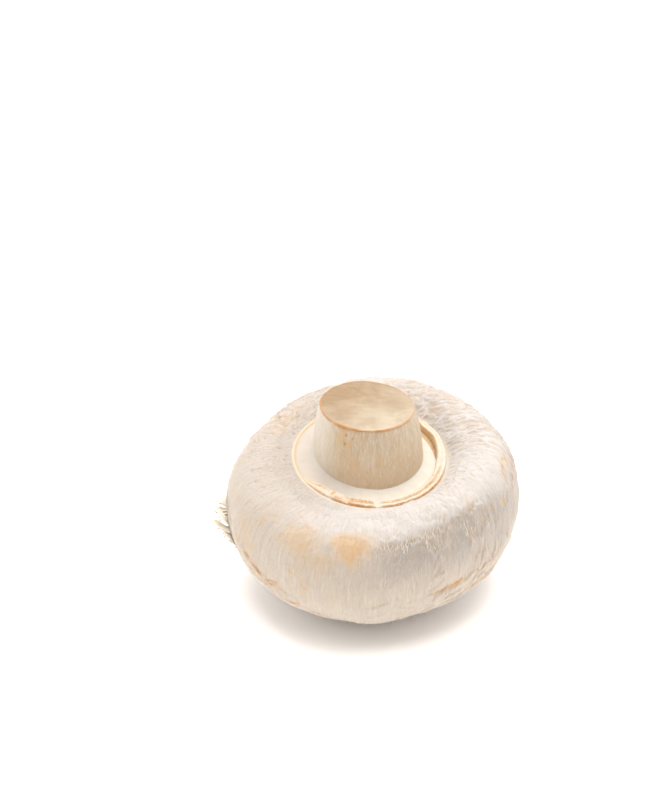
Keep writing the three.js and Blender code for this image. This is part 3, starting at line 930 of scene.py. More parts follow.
def skin_material(finish):
    """The cap's skin: white bloom over a pinkish flank, fibrous, stained tan, rusty in tears; painted
    shade greys its hollows, the band under the felt and its sides, and a painted highlight lightens
    the scales' edges.
    """
    n = Nodes("cap skin")
    fibre = n.mark("fibre", vector=True)
    threads = n.noise(n.stretch(fibre, (1, 1, THREAD_SQUEEZE)), 3000.0, 4.0, 0.6)
    strands = n.noise(n.stretch(fibre, (1, 1, 0.12)), 1000.0, 3.0, 0.6)
    felt = n.noise(fibre, 1700.0, 4.0, 0.65)
    patches = n.noise(fibre, 170.0, 4.0, 0.6)
    bloom = n.math("ADD", n.mark("bloom"), n.ramp(patches, 0.3, 0.7, -0.25, 0.25))
    colour = n.blend(n.ramp(bloom, 0.05, 0.95), finish.flank, finish.bloom)
    colour = n.blend(n.mark("cream"), colour, finish.cream)
    lip = n.mark("lip")
    colour = n.blend(lip, colour, finish.lip)
    bare = n.math("SUBTRACT", 1.0, lip)
    combed = n.math("SUBTRACT", bare, n.times(n.mark("bloom"), 0.55))
    streaks = n.times(combed, n.ramp(strands, 0.38, 0.66, 0.0, 0.32))
    colour = n.blend(streaks, colour, finish.flank)
    colour = n.blend(n.times(bare, n.ramp(threads, 0.50, 0.72, 0.0, 0.42)), colour, finish.pale)
    # darker threads of the combed fibres, in the painted shade's grey
    colour = n.blend(n.times(combed, n.ramp(threads, 0.46, 0.30, 0.0, 0.30)), colour, finish.dusk)
    # painted shade: the band under the felt and the cap's sides made greyer
    dusk = n.times(n.mark("dusk"), n.ramp(patches, 0.25, 0.7, 0.6, 1.0))
    colour = n.blend(dusk, colour, finish.dusk)
    cloudy = n.times(
        n.ramp(patches, 0.28, 0.6, 0.35, 1.1), n.ramp(strands, 0.3, 0.65, 0.55, 1.0)
    )
    stain = n.times(n.mark("stain"), n.math("MAXIMUM", cloudy, lip))
    colour = n.blend(stain, colour, finish.tan)
    chill = n.times(n.mark("chill"), n.ramp(felt, 0.3, 0.7, 0.2, 0.8))
    colour = n.blend(chill, colour, finish.chill)
    # painted shade in the hollows
    shade = n.times(n.mark("hollow"), n.ramp(felt, 0.25, 0.7, 0.5, 0.95))
    colour = n.blend(shade, colour, finish.shade)
    # painted highlight on the scales' free edges and the lock crests
    colour = n.blend(n.times(n.mark("edge"), 0.5), colour, finish.bloom)
    rust = n.times(n.mark("crevice"), n.ramp(felt, 0.3, 0.65, 0.3, 1.0))
    colour = n.blend(rust, colour, finish.rust)
    rough_skin = n.ramp(felt, 0.2, 0.8, 0.55, 0.8)
    smooth = n.math("ADD", n.times(lip, 0.8), n.times(n.mark("bloom"), 0.22))
    strength = n.math("SUBTRACT", 1.0, smooth)
    fine = n.bump(threads, 0.00026, strength)
    coarse = n.bump(strands, 0.00040, strength, fine)
    soft = n.bump(felt, 0.00026, strength, coarse)
    return n.flesh(colour, rough_skin, soft, 0.0003, 0.08)


def torn_material(finish):
    """Loose skin: cream or, where it is marked pale, like a shred, fibrous, tan where dried."""
    n = Nodes("torn skin")
    fibre = n.mark("fibre", vector=True)
    threads = n.noise(n.stretch(fibre, (1, 1, THREAD_SQUEEZE)), 3000.0, 4.0, 0.6)
    felt = n.noise(fibre, 1200.0, 4.0, 0.65)
    colour = n.blend(n.mark("pale"), finish.cream, finish.shred)
    colour = n.blend(n.ramp(threads, 0.35, 0.7, 0.0, 0.3), colour, finish.bloom)
    dried = n.times(n.mark("crevice"), n.ramp(felt, 0.35, 0.6, 0.2, 1.0))
    colour = n.blend(dried, colour, finish.tan)
    normal = n.bump(threads, 0.00008, 0.8)
    return n.flesh(colour, 0.7, normal, 0.0, 0.1)


def veil_material(finish):
    """The veil: smooth, cream, faintly streaked towards the stem, with painted shade on its left side.
    """
    n = Nodes("veil membrane")
    fibre = n.mark("fibre", vector=True)
    streaks = n.noise(n.stretch(fibre, (1, 1, 0.15)), 900.0, 3.0, 0.5)
    felt = n.noise(fibre, 700.0, 4.0, 0.6)
    colour = n.blend(n.ramp(streaks, 0.35, 0.75, 0.0, 0.18), finish.veil, finish.flank)
    # painted shade: the veil's left side made greyer
    colour = n.blend(n.mark("dusk"), colour, finish.flank)
    dried = n.times(n.mark("crevice"), n.ramp(felt, 0.3, 0.7, 0.4, 1.0))
    colour = n.blend(dried, colour, finish.tan)
    normal = n.bump(streaks, 0.00006, 0.5, n.bump(felt, 0.00006, 0.5))
    return n.flesh(colour, n.ramp(felt, 0.2, 0.8, 0.42, 0.6), normal, 0.0008, 0.04)


def stem_material(finish):
    """The stem: fibrous along its side, tan and mottled on the cut, rusty at the cut's rim; painted
    light pales its lower part and left side, and painted shade darkens the back and left of the cut.
    """
    n = Nodes("stem flesh")
    fibre = n.mark("fibre", vector=True)
    threads = n.noise(n.stretch(fibre, (1, 1, 0.2)), 5200.0, 3.0, 0.6)
    strands = n.noise(n.stretch(fibre, (1, 1, 0.2)), 1100.0, 4.0, 0.6)
    felt = n.noise(fibre, 500.0, 5.0, 0.6)
    side = n.blend(n.ramp(strands, 0.35, 0.65, 0.0, 0.3), finish.stem, finish.veil)
    # paler on the smoother left side, partly the stem's own skin and partly painted light, and painted
    # light near the foot
    side = n.blend(n.times(n.mark("smooth"), 0.85), side, finish.veil)
    # painted light: the lower stem made lighter and warmer, least on the left
    side = n.blend(n.mark("glow"), side, finish.foot)
    fibrous = n.math("SUBTRACT", 1.1, n.mark("smooth"))
    flecks = n.times(fibrous, n.ramp(threads, 0.5, 0.70, 0.0, 0.6))
    side = n.blend(flecks, side, finish.veil)
    side = n.blend(n.ramp(threads, 0.48, 0.36, 0.0, 0.34), side, finish.tan)
    side = n.blend(n.times(n.mark("stain"), n.ramp(felt, 0.35, 0.6)), side, finish.tan)
    cloud = n.ramp(n.noise(fibre, 230.0, 4.0, 0.6), 0.3, 0.7, -0.25, 0.25)
    # painted shade: the back and left of the cut darker, the front and right paler; the cloud is the
    # flesh's own mottling
    face = n.blend(n.math("ADD", n.mark("pale"), cloud), finish.face, finish.inside)
    colour = n.blend(n.mark("cut"), side, face)
    rim = n.times(n.mark("rim"), n.ramp(felt, 0.25, 0.6, 0.45, 1.0))
    colour = n.blend(rim, colour, finish.rim)
    relief = n.times(n.math("SUBTRACT", 1.0, n.mark("cut")), n.math("ADD", threads, strands))
    normal = n.bump(relief, 0.00035, 1.0, n.bump(felt, 0.00012, 0.5))
    return n.flesh(colour, n.ramp(felt, 0.2, 0.8, 0.5, 0.7), normal, 0.0005, 0.04)


FLOOR_GRAIN = (0.93, 0.91, 0.89)


def floor_material(stage):
    """A plain pale matt board with the faintest unevenness."""
    n = Nodes("floor board")
    place = n.add("ShaderNodeTexCoord").outputs["Object"]
    grain = n.noise(place, 60.0, 3.0)
    colour = n.blend(n.ramp(grain, 0.3, 0.7, 0.0, 0.02), stage.floor, FLOOR_GRAIN)
    board = n.add("ShaderNodeBsdfPrincipled", {"Base Color": colour, "Roughness": 0.9})
    n.add("ShaderNodeOutputMaterial", {"Surface": board.outputs[0]})
    return n.material


def shared(name, maker, *settings):
    """The material of that name, made on first use."""
    return bpy.data.materials.get(name) or maker(*settings)


# ---- Marks of colour ----


def spot(size, place, angle, where):
    """A soft oval on the skin: 1 in its middle, 0 outside, its border pushed about by noise."""
    turn = (np.degrees(angle) - where["angle"] + 180) % 360 - 180
    radius = cap_outline(size, np.float64(where["place"]))[0]
    across = np.radians(turn) * radius / where["width"]
    along = (place - where["place"]) * skin_length(place) / where["length"]
    wobble = 0.45 * rough(fibre_space(size, place, angle, 1.5) * 0.5, 3, 41)
    return steps(1.15 - np.hypot(across, along) + wobble, 0, 0.9)


def skin_marks(size, place, angle, crevice, fine_marks):
    """The colour marks of the skin, with the fibre space: stains and rust, the bloom and the cream of
    the flank, painted shade under the felt and on the sides, the bruise, the lip, and the fine marks
    as they come, with their painted shade and highlight."""
    stain = np.zeros_like(crevice)
    for where in STAINS:
        stain = np.maximum(stain, where["amount"] * spot(size, place, angle, where))
    felted = fine_marks.pop("felted")
    dried = fine_marks.pop("dried")
    crevice = np.clip(np.maximum(crevice, 0.75 * dried) + 0.9 * np.clip(stain - 0.62, 0, 1), 0, 1)
    stain = np.maximum(stain, dried**0.5)
    bloom = felted * (0.38 + 0.67 * facing(angle, -42, 74)) + 0.25 * steps(place, 0.9, 1.5)
    bloom = bloom + 0.15 * facing(angle, -160, 80) * steps(place, 0.8, 1.3)
    chill = 0.8 * spot(size, place, angle, CHILL)
    mottle = steps(rough(fibre_space(size, place, angle, 1.6) * 0.32, 3, 151), 0.0, 0.45)
    mottle = 0.30 * mottle * facing(angle, -150, 62)
    stain = np.maximum(stain, mottle * steps(place, 0.6, 0.9) * steps(1.85 - place, 0, 0.3))
    # painted shade: a greyer band under the felt's ragged border, strongest at the front right, and
    # greyer flanks at the right and the left
    low = border_place(angle)
    band = steps(place, low - 0.62, low - 0.22) * (1 - felted)
    dusk = band * np.maximum(facing(angle, -52, 48), 0.2 * facing(angle, -120, 60))
    right = 0.7 * facing(angle, 0, 50) * steps(place, 0.8, 1.2) * steps(1.8 - place, 0, 0.4)
    dusk = np.maximum(dusk, right)
    dusk = np.maximum(dusk, 0.45 * facing(angle, 172, 90) * steps(place, 1.0, 1.5))
    stain = np.maximum(stain, 0.16 * facing(angle, 178, 80) * steps(place, 1.0, 1.5))
    cream = np.maximum(0.8 * steps(1.25 - place, 0, 0.35), 0.8 * facing(angle, -150, 70))
    return {
        "fibre": fibre_space(size, place, angle, 1) * MM,
        "stain": stain,
        "crevice": crevice,
        "bloom": np.clip(bloom, 0, 1),
        "chill": chill,
        "dusk": dusk,
        "lip": steps(place, *LIP_STARTS),
        "cream": (1 - felted) * cream,
        **fine_marks,
    }


# ---- The cap ----


def skin_places():
    """Places of the skin's rows: sparse under the crown, close where the skin shows."""
    hidden = np.linspace(0, 0.5, 12)[:-1]
    shown = np.linspace(0.5, 1, 48)[:-1]
    shoulder = np.linspace(1, 2, 50)[:-1]
    top = np.linspace(2, LIP_STARTS[1], 16)
    return np.concatenate([hidden, shown, shoulder, top])


# The section of the ring, from the skin inwards: (share of the lip's width, share of its rise
# where it is single, the same where it is double, plain height in millimetres).
RING_SECTION = (
    (-0.08, 0.00, 0.00, 0.00),
    (0.00, 0.00, 0.00, -0.04),
    (0.03, 0.00, 0.00, -0.12),
    (0.06, 0.20, 0.20, -0.10),
    (0.11, 0.85, 0.90, 0.00),
    (0.25, 1.00, 1.00, 0.03),
    (0.40, 1.00, 0.70, 0.02),
    (0.52, 0.90, 0.25, -0.04),
    (0.62, 0.98, 0.60, 0.00),
    (0.78, 0.95, 0.95, 0.02),
    (0.92, 0.85, 0.70, 0.00),
    (1.00, 0.60, 0.25, -0.10),
    (1.02, 0.20, 0.00, -0.30),
    (1.02, 0.00, 0.00, -0.80),
)

# Dried lines round the ring: start and stop in degrees, share of the lip's width at each end, half
# width as a share, how much it waves, tan, rust.
RING_LINES = table(
    "start stop reach half wave tan rust",
    (-146, -123, (0.05, 0.05), 0.09, 0.0, 0.7, 0.35),
    (-147, -126, (0.60, 0.75), 0.13, 0.08, 1.0, 0.35),
    (-121, -86, (0.04, 0.06), 0.12, 0.02, 1.0, 1.0),
    (-120, -87, (0.30, 0.42), 0.13, 0.16, 1.0, 1.0),
    (-112, -88, (0.85, 0.62), 0.15, 0.14, 1.0, 1.0),
    (-81, -14, (0.04, 0.04), 0.09, 0.0, 1.0, 0.9),
    (-82, -8, (0.50, 0.54), 0.16, 0.05, 1.0, 0.45),
    (-48, -4, (0.95, 1.02), 0.14, 0.0, 0.8, 0.10),
)

# A dried fold across the ring, at an angle, and a rusty spot at an angle and a share of the width.
RING_FOLD = -121.7
RING_SPOT = (-103.4, 0.14)
RING_ROWS = 36


def ring_grid(size, angle):
    """The ring as (points, rust, tan): the section's columns drawn straight between its points,
    then set by the lip's width and rise at each angle, with its dried lines as narrow bells."""
    section = np.array(RING_SECTION)
    at = np.linspace(0, len(section) - 1, RING_ROWS)
    reach, single, double, plain = (
        np.interp(at, np.arange(len(section)), section[:, column])[:, None] for column in range(4)
    )
    width = lip_width(angle)
    stands = remnant(angle)[0]
    lift = mix(single, double, facing(angle, -60, 70))
    radius = size["margin_radius"] - reach * width
    point = fibre_space(size, 3.0 + 0 * angle, angle, 1)
    crumb = rough(point * 1.8 + 3 * at[:, None, None] * 0.13, 3, 51)
    crumble = stands * np.clip(lift, 0, 1) * crumb
    loose = 0.07 + 0.10 * facing(angle, -120, 40) + 0.06 * facing(angle, 0, 80)
    rise = size["margin_rise"] + plain * mix(0.6, 1, stands)
    rise = rise + lift * lip_rise(size, angle) + loose * crumble
    radius = radius + 0.6 * loose * crumb * stands * np.clip(reach, 0, 1)
    points = stack(
        radius * np.cos(angle) + size["margin_shift"], radius * np.sin(angle), rise
    )
    opened = gape(angle) / GAPE["width"]
    broken = steps(rough(point * 1.1 + at[:, None, None] * 0.2, 3, 57), -0.35, 0.15)
    degrees = np.degrees(angle)
    tan = 0.75 * (1 - stands) * steps(reach, -0.05, 0.2) + opened * steps(reach, 0.75, 0.95)
    rust = 0.45 * opened * steps(reach, 0.9, 1.0) + 0 * angle
    for line in RING_LINES:
        way = np.clip(share_round(angle, line["start"], line["stop"]), 0, 1)
        waves = rough(point * 0.9 + 9 * line["rust"], 2, 61)
        middle = mix(*line["reach"], way) + line["wave"] * waves
        ends = np.sin(np.pi * way) ** 0.3 * (way > 0)
        strength = bell(reach - middle, line["half"]) * ends
        tan = np.maximum(tan, line["tan"] * strength * mix(0.7, 1, broken))
        rust = np.maximum(rust, line["rust"] * strength * mix(0.3, 1, broken))
    fold = bell(degrees - RING_FOLD, 1.3) * steps(reach, 0.1, 0.4)
    rusty = bell(degrees - RING_SPOT[0], 0.9) * bell(reach - RING_SPOT[1], 0.10)
    rust = np.maximum(rust, np.maximum(0.5 * fold, 1.2 * rusty))
    tan = np.maximum(tan, fold)
    return points, np.clip(rust, 0, 1), np.clip(tan + 0 * rise, 0, 1)


def seat_grid(size, angle):
    """Three rows over the hidden seat of the veil, closing at the stem's foot."""
    ways = np.array([0.0, 0.4, 0.6])[:, None]
    outer = size["margin_radius"] - lip_width(angle)
    reach = np.stack([outer, mix(outer, size["foot_radius"], 0.4), 0 * angle])
    shift = np.array([size["margin_shift"], size["margin_shift"], STEM_FOOT_SHIFT[0]])[:, None]
    return stack(
        reach * np.cos(angle) + shift,
        reach * np.sin(angle),
        seat_rise(size, ways) + 1.4 * (1 - ways) * gape(angle) / GAPE["width"],
    )


def cap_grid(size, turns):
    """The whole cap as rows of points from the crown to the seat under the veil, with its marks.
    Its turns lie closest at the front, where the skin has its finest detail."""
    angle = full_turn(turns)
    angle = angle - FRONT_PACKING * np.cos(angle)
    place = skin_places()[:, None] + 0 * angle
    across = 0 * place + angle
    torn, crevice = tear_relief(size, place, across)
    fine, fine_marks = fine_relief(size, place, across)
    ease = steps(2.95 - place, 0, 0.12)
    skin = off_skin(size, place, across, torn + swell(place, across) + fine * ease)
    ring, rust, tan = ring_grid(size, angle)
    seat = seat_grid(size, angle)
    marks = skin_marks(size, place, across, crevice, fine_marks)
    rest = len(ring) + len(seat)
    inner_place = np.full((rest, turns), 3.0)
    around = fibre_space(size, inner_place, inner_place * 0 + angle, 1)
    around[..., 2] = np.arange(rest)[:, None] * RING_STEP / THREAD_SQUEEZE
    inner = {name: np.zeros((rest, turns)) for name in marks}
    inner["fibre"] = around * MM
    inner["stain"] = np.concatenate([tan, np.ones((len(seat), turns))])
    inner["crevice"] = np.concatenate([rust, np.zeros((len(seat), turns))])
    inner["bloom"] = np.full((rest, turns), 0.8)
    inner["lip"] = np.ones((rest, turns))
    joined = {name: np.concatenate([marks[name], inner[name]]) for name in marks}
    return np.concatenate([skin, ring, seat]), joined


class MUSHROOM_OT_cap(bpy.types.Operator):
    """Makes the cap: its skin with tears, fibres and stains, and the torn ring on its margin"""

    bl_idname = "mushroom.cap"
    bl_label = "Cap"

    def execute(self, context):
        size = sizes()
        grid, marks = cap_grid(size, CAP_TURNS)
        piece = turned_piece("cap_skin", lay_down(size, grid), marks)
        skin = shared("cap skin", skin_material, context.scene.mushroom_finish)
        finish_piece(piece, skin, "cap")
        return {"FINISHED"}


# ---- The shreds ----


def shred_table():
    """Every shred as a row of angle, place, length, width, lift, bend and seed."""
    return np.array([(*shred, FIRST_SHRED_SEED + at) for at, shred in enumerate(SHREDS)], float)


def loose_blades(size, shreds, rows=14, columns=15, thickness=0.11):
    """Thin blades of skin: each widens from its root and ends ragged, its place running on with
    its length, its side bending with the square of that, its height lifting to the tip."""
    angle, place, long, wide, lift, bend, seed = shreds.T[..., None, None]
    out = np.linspace(0, 1, rows)[None, :, None]
    across = np.linspace(-1, 1, columns)[None, None, :]
    tear_point = stack(across * 2.1 + seed * 7.3, seed * 1.7 + 0 * across, 0 * across + 0 * seed)
    ragged = 1 - 0.34 * (0.5 + 0.5 * rough(tear_point, 3, 71))
    out = out * ragged
    side_point = stack(0 * across + np.sign(across) * 3 + seed, out * 2.6, 0 * out + seed * 0.31)
    half = wide / 2 * (1 - 0.85 * out**1.8) * (1 + 0.45 * rough(side_point, 3, 75))
    radius = cap_outline(size, place)[0]
    turn = np.radians(angle) + (across * half + bend * out**2) / radius
    where = place + out * long / skin_length(place)
    buckle = 0.18 * lift * rough(stack(across * 1.3 + seed, out * 1.5, 0 * out + seed), 2, 79)
    height = mix(-BLADE_SINK, lift, out**1.3) + buckle * out * 2 + 0.25 * across**2 * out * lift
    rim = np.minimum(1, 4 * (1 - np.abs(across))) * np.minimum(1, 5 * (1 - out / ragged))
    thick = thickness * rim * (1 - 0.4 * out)
    where, turn = np.broadcast_arrays(where + 0 * turn, turn)
    upper, lower = (off_skin(size, where, turn, height + way * thick) for way in (1, -1))
    return upper, lower, where, turn, out


def blade_marks(size, place, angle, brown, pale):
    """Marks of torn skin, with the fibre space: how brown and how pale each point is."""
    return {
        "fibre": fibre_space(size, place, angle, 1) * MM,
        "crevice": np.clip(brown, 0, 1) + 0 * place,
        "pale": pale + 0 * place,
    }


class MUSHROOM_OT_shreds(bpy.types.Operator):
    """Makes the loose shreds of the skin"""

    bl_idname = "mushroom.shreds"
    bl_label = "Shreds"

    def execute(self, context):
        size = sizes()
        skin = shared("torn skin", torn_material, context.scene.mushroom_finish)
        upper, lower, place, angle, out = loose_blades(size, shred_table())
        brown = 0.3 * steps(out, 0.7, 1) + 0 * place
        marks = blade_marks(size, place, angle, brown, 1.0)
        shreds = blade_piece("loose_shreds", size, upper, lower, marks)
        finish_piece(shreds, skin)
        return {"FINISHED"}


# ---- Fine hairs ----

# Patches of hairs: how many, between which angles and places, and their usual length, lift and
# thickness in millimetres.
HAIR_PATCHES = table(
    "count angle place long lift thick",
    (90, (-90, -30), (1.36, 1.62), 1.2, 0.10, 0.045),
    (60, (-88, -24), (1.02, 1.36), 1.2, 0.10, 0.042),
    (30, (-50, -38), (1.44, 1.52), 1.1, 0.16, 0.05),
    (12, (-70, -62), (1.50, 1.58), 1.4, 0.20, 0.06),
    (50, (-64, -22), (0.80, 1.00), 1.3, 0.30, 0.055),
    (60, (-158, -112), (0.72, 1.02), 1.4, 0.26, 0.05),
    (14, (-176, -158), (0.88, 1.08), 1.6, 0.6, 0.06),
    (30, (-116, -62), (0.56, 0.70), 1.2, 0.9, 0.06),
    (70, (-24, 60), (1.20, 1.75), 1.4, 0.22, 0.055),
    (60, (110, 180), (1.20, 1.70), 1.2, 0.26, 0.05),
    (90, (20, 160), (0.75, 1.15), 1.6, 0.45, 0.055),
    # the thicker fringe along the border of the white felt
    (17, (-88, -72), (1.45, 1.55), 1.5, 0.24, 0.075),
    (10, (-70, -57), (1.34, 1.50), 1.6, 0.24, 0.075),
    (13, (-48, -39), (1.34, 1.45), 1.9, 0.28, 0.085),
)


def hair_paths(size, seed=5):
    """Paths of fine hairs: each starts in the skin, runs roughly towards the margin, curls
    sideways as a sine of its length and lifts to its tip."""
    draw = np.random.default_rng(seed)
    roots = []
    for patch in HAIR_PATCHES:
        count = patch["count"]
        roots.append(
            [
                np.radians(draw.uniform(*patch["angle"], count)),
                draw.uniform(*patch["place"], count),
                patch["long"] * draw.uniform(0.5, 1.3, count),
                patch["lift"] * draw.uniform(0.2, 1.3, count),
                draw.normal(0, 0.22, count),
                draw.uniform(0, TURN, count),
                patch["thick"] * draw.uniform(0.6, 1.2, count),
            ]
        )
    columns = np.concatenate(roots, 1)[..., None]
    angle, place, long, lift, slant, phase, thick = columns
    out = np.linspace(0, 1, 9)[None, :]
    radius = cap_outline(size, place)[0]
    sideways = long * (np.sin(slant) * out + 0.14 * np.sin(4 * out + phase) * out)
    where = place + long * np.cos(slant) * out / skin_length(place)
    turn = angle + sideways / radius
    base = tear_relief(size, where, turn)[0] + swell(where, turn)
    height = base - 0.10 + (lift + 0.10) * out**1.3
    return off_skin(size, where, turn, height), where, turn, thick * (1 - 0.75 * out)


def strand_paths(size):
    """Paths of the thick curled strands: the height is a quarter sine of the length, the place
    climbs and comes back with its cube, the side bends with its square, and the thickness is lumpy."""
    angle, place, reach, climb, side, droop, thick = np.array(STRANDS).T[..., None]
    out = np.linspace(0, 1, 15)[None, :]
    height = -0.5 + (reach + 0.5) * np.sin(out * np.pi / 2) ** 0.9
    where = place + (climb * np.sin(out * np.pi / 2) - droop * out**4) / skin_length(place)
    where = where + 0.016 * np.sin(9 * out + 5 * place * 9)
    turn = np.radians(angle) + side * out**2 / size["cap_radius"]
    lumpy = 1 + 0.45 * rough(stack(place * 90, out * 5, angle * 0.7), 2, 83)
    return off_skin(size, where, turn, height), where, turn, thick * lumpy * (1 - 0.8 * out**1.3)


def tube_piece(name, size, paths, radius, marks, sides=5):
    """Tapered tubes along many paths: at each point a ring square to the path, closed at both
    ends by a pole."""
    count, steps_along = paths.shape[:2]
    tangent = unit(np.gradient(paths, axis=1))
    side = unit(np.cross(tangent, np.array([0.31, 0.17, 0.93])))
    other = np.cross(tangent, side)
    turn = np.arange(sides) / sides * TURN
    ring = np.cos(turn)[:, None] * side[:, :, None] + np.sin(turn)[:, None] * other[:, :, None]
    rings = paths[:, :, None] + radius[..., None, None] * ring
    points = np.concatenate([paths[:, :1], rings.reshape(count, -1, 3), paths[:, -1:]], 1)
    quads, triangles = turned_faces(steps_along + 2, sides)
    offset = np.arange(count)[:, None, None] * points.shape[1]
    piece = make_mesh(
        name,
        lay_down(size, points.reshape(-1, 3)),
        (offset + quads).reshape(-1, 4),
        (offset + triangles).reshape(-1, 3),
    )
    for mark, values in marks.items():
        body = np.repeat(values, sides, axis=1)
        kept = np.concatenate([values[:, :1], body, values[:, -1:]], 1)
        paint(piece, mark, kept.reshape(-1, *values.shape[2:]))
    return piece


class MUSHROOM_OT_hairs(bpy.types.Operator):
    """Makes the fine hairs and curled fibres that stand off the skin"""

    bl_idname = "mushroom.hairs"
    bl_label = "Hairs"

    def execute(self, context):
        size = sizes()
        skin = shared("torn skin", torn_material, context.scene.mushroom_finish)
        kinds = (("skin_hairs", hair_paths, 5), ("curled_strands", strand_paths, 8))
        for name, maker, sides in kinds:
            paths, place, angle, radius = maker(size)
            pale = mix(0.4, 1, steps(radius[:, :1], 0.04, 0.12)) + 0 * place
            marks = blade_marks(size, place, angle, 0, pale)
            finish_piece(tube_piece(name, size, paths, radius, marks, sides), skin)
        return {"FINISHED"}


# ---- The veil ----


def veil_grid(size, turns):
    """The veil's points: a thin closed collar whose section runs out under it, round its hem, up
    its face and round its fillet against the stem."""
    angle = full_turn(turns)
    way = np.concatenate([np.linspace(1, 0, 8), np.linspace(0, 1, 40)])[:, None]
    upper = np.concatenate([np.zeros(8), np.ones(40)])[:, None]
    foot_x, foot_y = stem_shift(size, size["foot_rise"])
    opened = gape(angle) / GAPE["width"]
    outer = size["margin_radius"] - lip_width(angle) - gape(angle)
    outer = outer + 0.12 - 0.3 * steps(opened, 0, 0.6)
    inner = size["foot_radius"] - 0.25
    reach = mix(outer, inner, way)
    sunk = 0.08 + 0.22 * remnant(angle)[0]
    crest = mix(size["margin_rise"] - sunk, size["foot_rise"] - 0.55, way**1.5)
    crest = crest - 0.35 * opened * np.exp(-way * 6)
    fillet = FILLET_RISE * mix(0.35, 1, facing(angle, 180, 110)) * np.exp(-(1 - way) * 4)
    under = np.maximum(seat_rise(size, way) + SEAT_CLEARANCE, crest - VEIL_THICKNESS)
    rise = np.where(upper > 0, crest + fillet, under)
    point = stack(reach * np.cos(angle), reach * np.sin(angle), rise)
    soft = 0.10 * rough(point * 0.35, 3, 91) + 0.03 * rough(point * 1.2, 2, 93)
    rise = rise + upper * soft * steps(way, 0, 0.15)
    shift_x = mix(size["margin_shift"], foot_x, way)
    shift_y = mix(0, foot_y, way)
    points = stack(reach * np.cos(angle) + shift_x, reach * np.sin(angle) + shift_y, rise)
    along = way * (size["margin_radius"] - size["foot_radius"])
    fibre = stack(10 * np.cos(angle), 10 * np.sin(angle), along) * MM
    hem = 1 - steps(way, 0.0, mix(0.08, 0.16, facing(angle, 180, 120)))
    crevice = upper * hem * mix(0.35, 0.55, facing(angle, 180, 120))
    # painted shade on the veil's left side
    dusk = 0.7 * facing(angle, 180, 95) + 0 * way
    return points, {"fibre": fibre, "crevice": crevice, "dusk": dusk}


def loop_faces(rows, turns):
    """Corners of a closed ring: rows round the section and turns round the axis, both joined up."""
    grid = np.arange(rows * turns).reshape(rows, turns)
    above = np.roll(grid, -1, 0)
    quads = np.stack([grid, np.roll(grid, -1, 1), np.roll(above, -1, 1), above], -1)
    return quads.reshape(-1, 4)


class MUSHROOM_OT_veil(bpy.types.Operator):
    """Makes the veil, the smooth membrane between the cap's margin and the stem"""

    bl_idname = "mushroom.veil"
    bl_label = "Veil"

    def execute(self, context):
        size = sizes()
        grid, marks = veil_grid(size, VEIL_TURNS)
        rows, turns = grid.shape[:2]
        points = lay_down(size, grid).reshape(-1, 3)
        piece = make_mesh("veil_membrane", points, loop_faces(rows, turns))
        for mark, values in marks.items():
            paint(piece, mark, values.reshape(-1, *values.shape[2:]))
        membrane = shared("veil membrane", veil_material, context.scene.mushroom_finish)
        finish_piece(piece, membrane, "veil")
        return {"FINISHED"}


# ---- The stem ----

# Dried specks on the front of the stem, and small rusty dots under its cut: angle, millimetres
# under the cut, half width, half height, strength.
STEM_SPECKS = (
    (-97, 2.6, 0.7, 1.0, 0.55),
    (-101, 1.2, 0.5, 0.8, 0.5),
    (-121, 3.2, 0.8, 1.6, 0.35),
)
STEM_DOTS = (
    (-115.5, 1.2, 0.20, 0.24, 1),
    (-116.5, 2.6, 0.17, 0.20, 1),
    (-108, 1.5, 0.11, 0.20, 1),
)


def stem_spots(size, angle, rise, spots, radius):
    """Soft ovals added up on the stem's side, taken as a cylinder of the given radius."""
    total = 0
    for turn, down, wide, tall, strong in spots:
        across = bell((angle - np.radians(turn)) * radius, wide)
        total = total + strong * across * bell(rise - size["cut_rise"] + down, tall)
    return total


def stem_radius(size, rise):
    """The bare stem's radius: a sine from the cut's radius to the foot's, then straight down."""
    down = np.clip((size["cut_rise"] - rise) / (size["cut_rise"] - size["foot_rise"]), 0, 1)
    return mix(size["cut_radius"], size["foot_radius"], np.sin(down * np.pi / 2) ** 0.9)


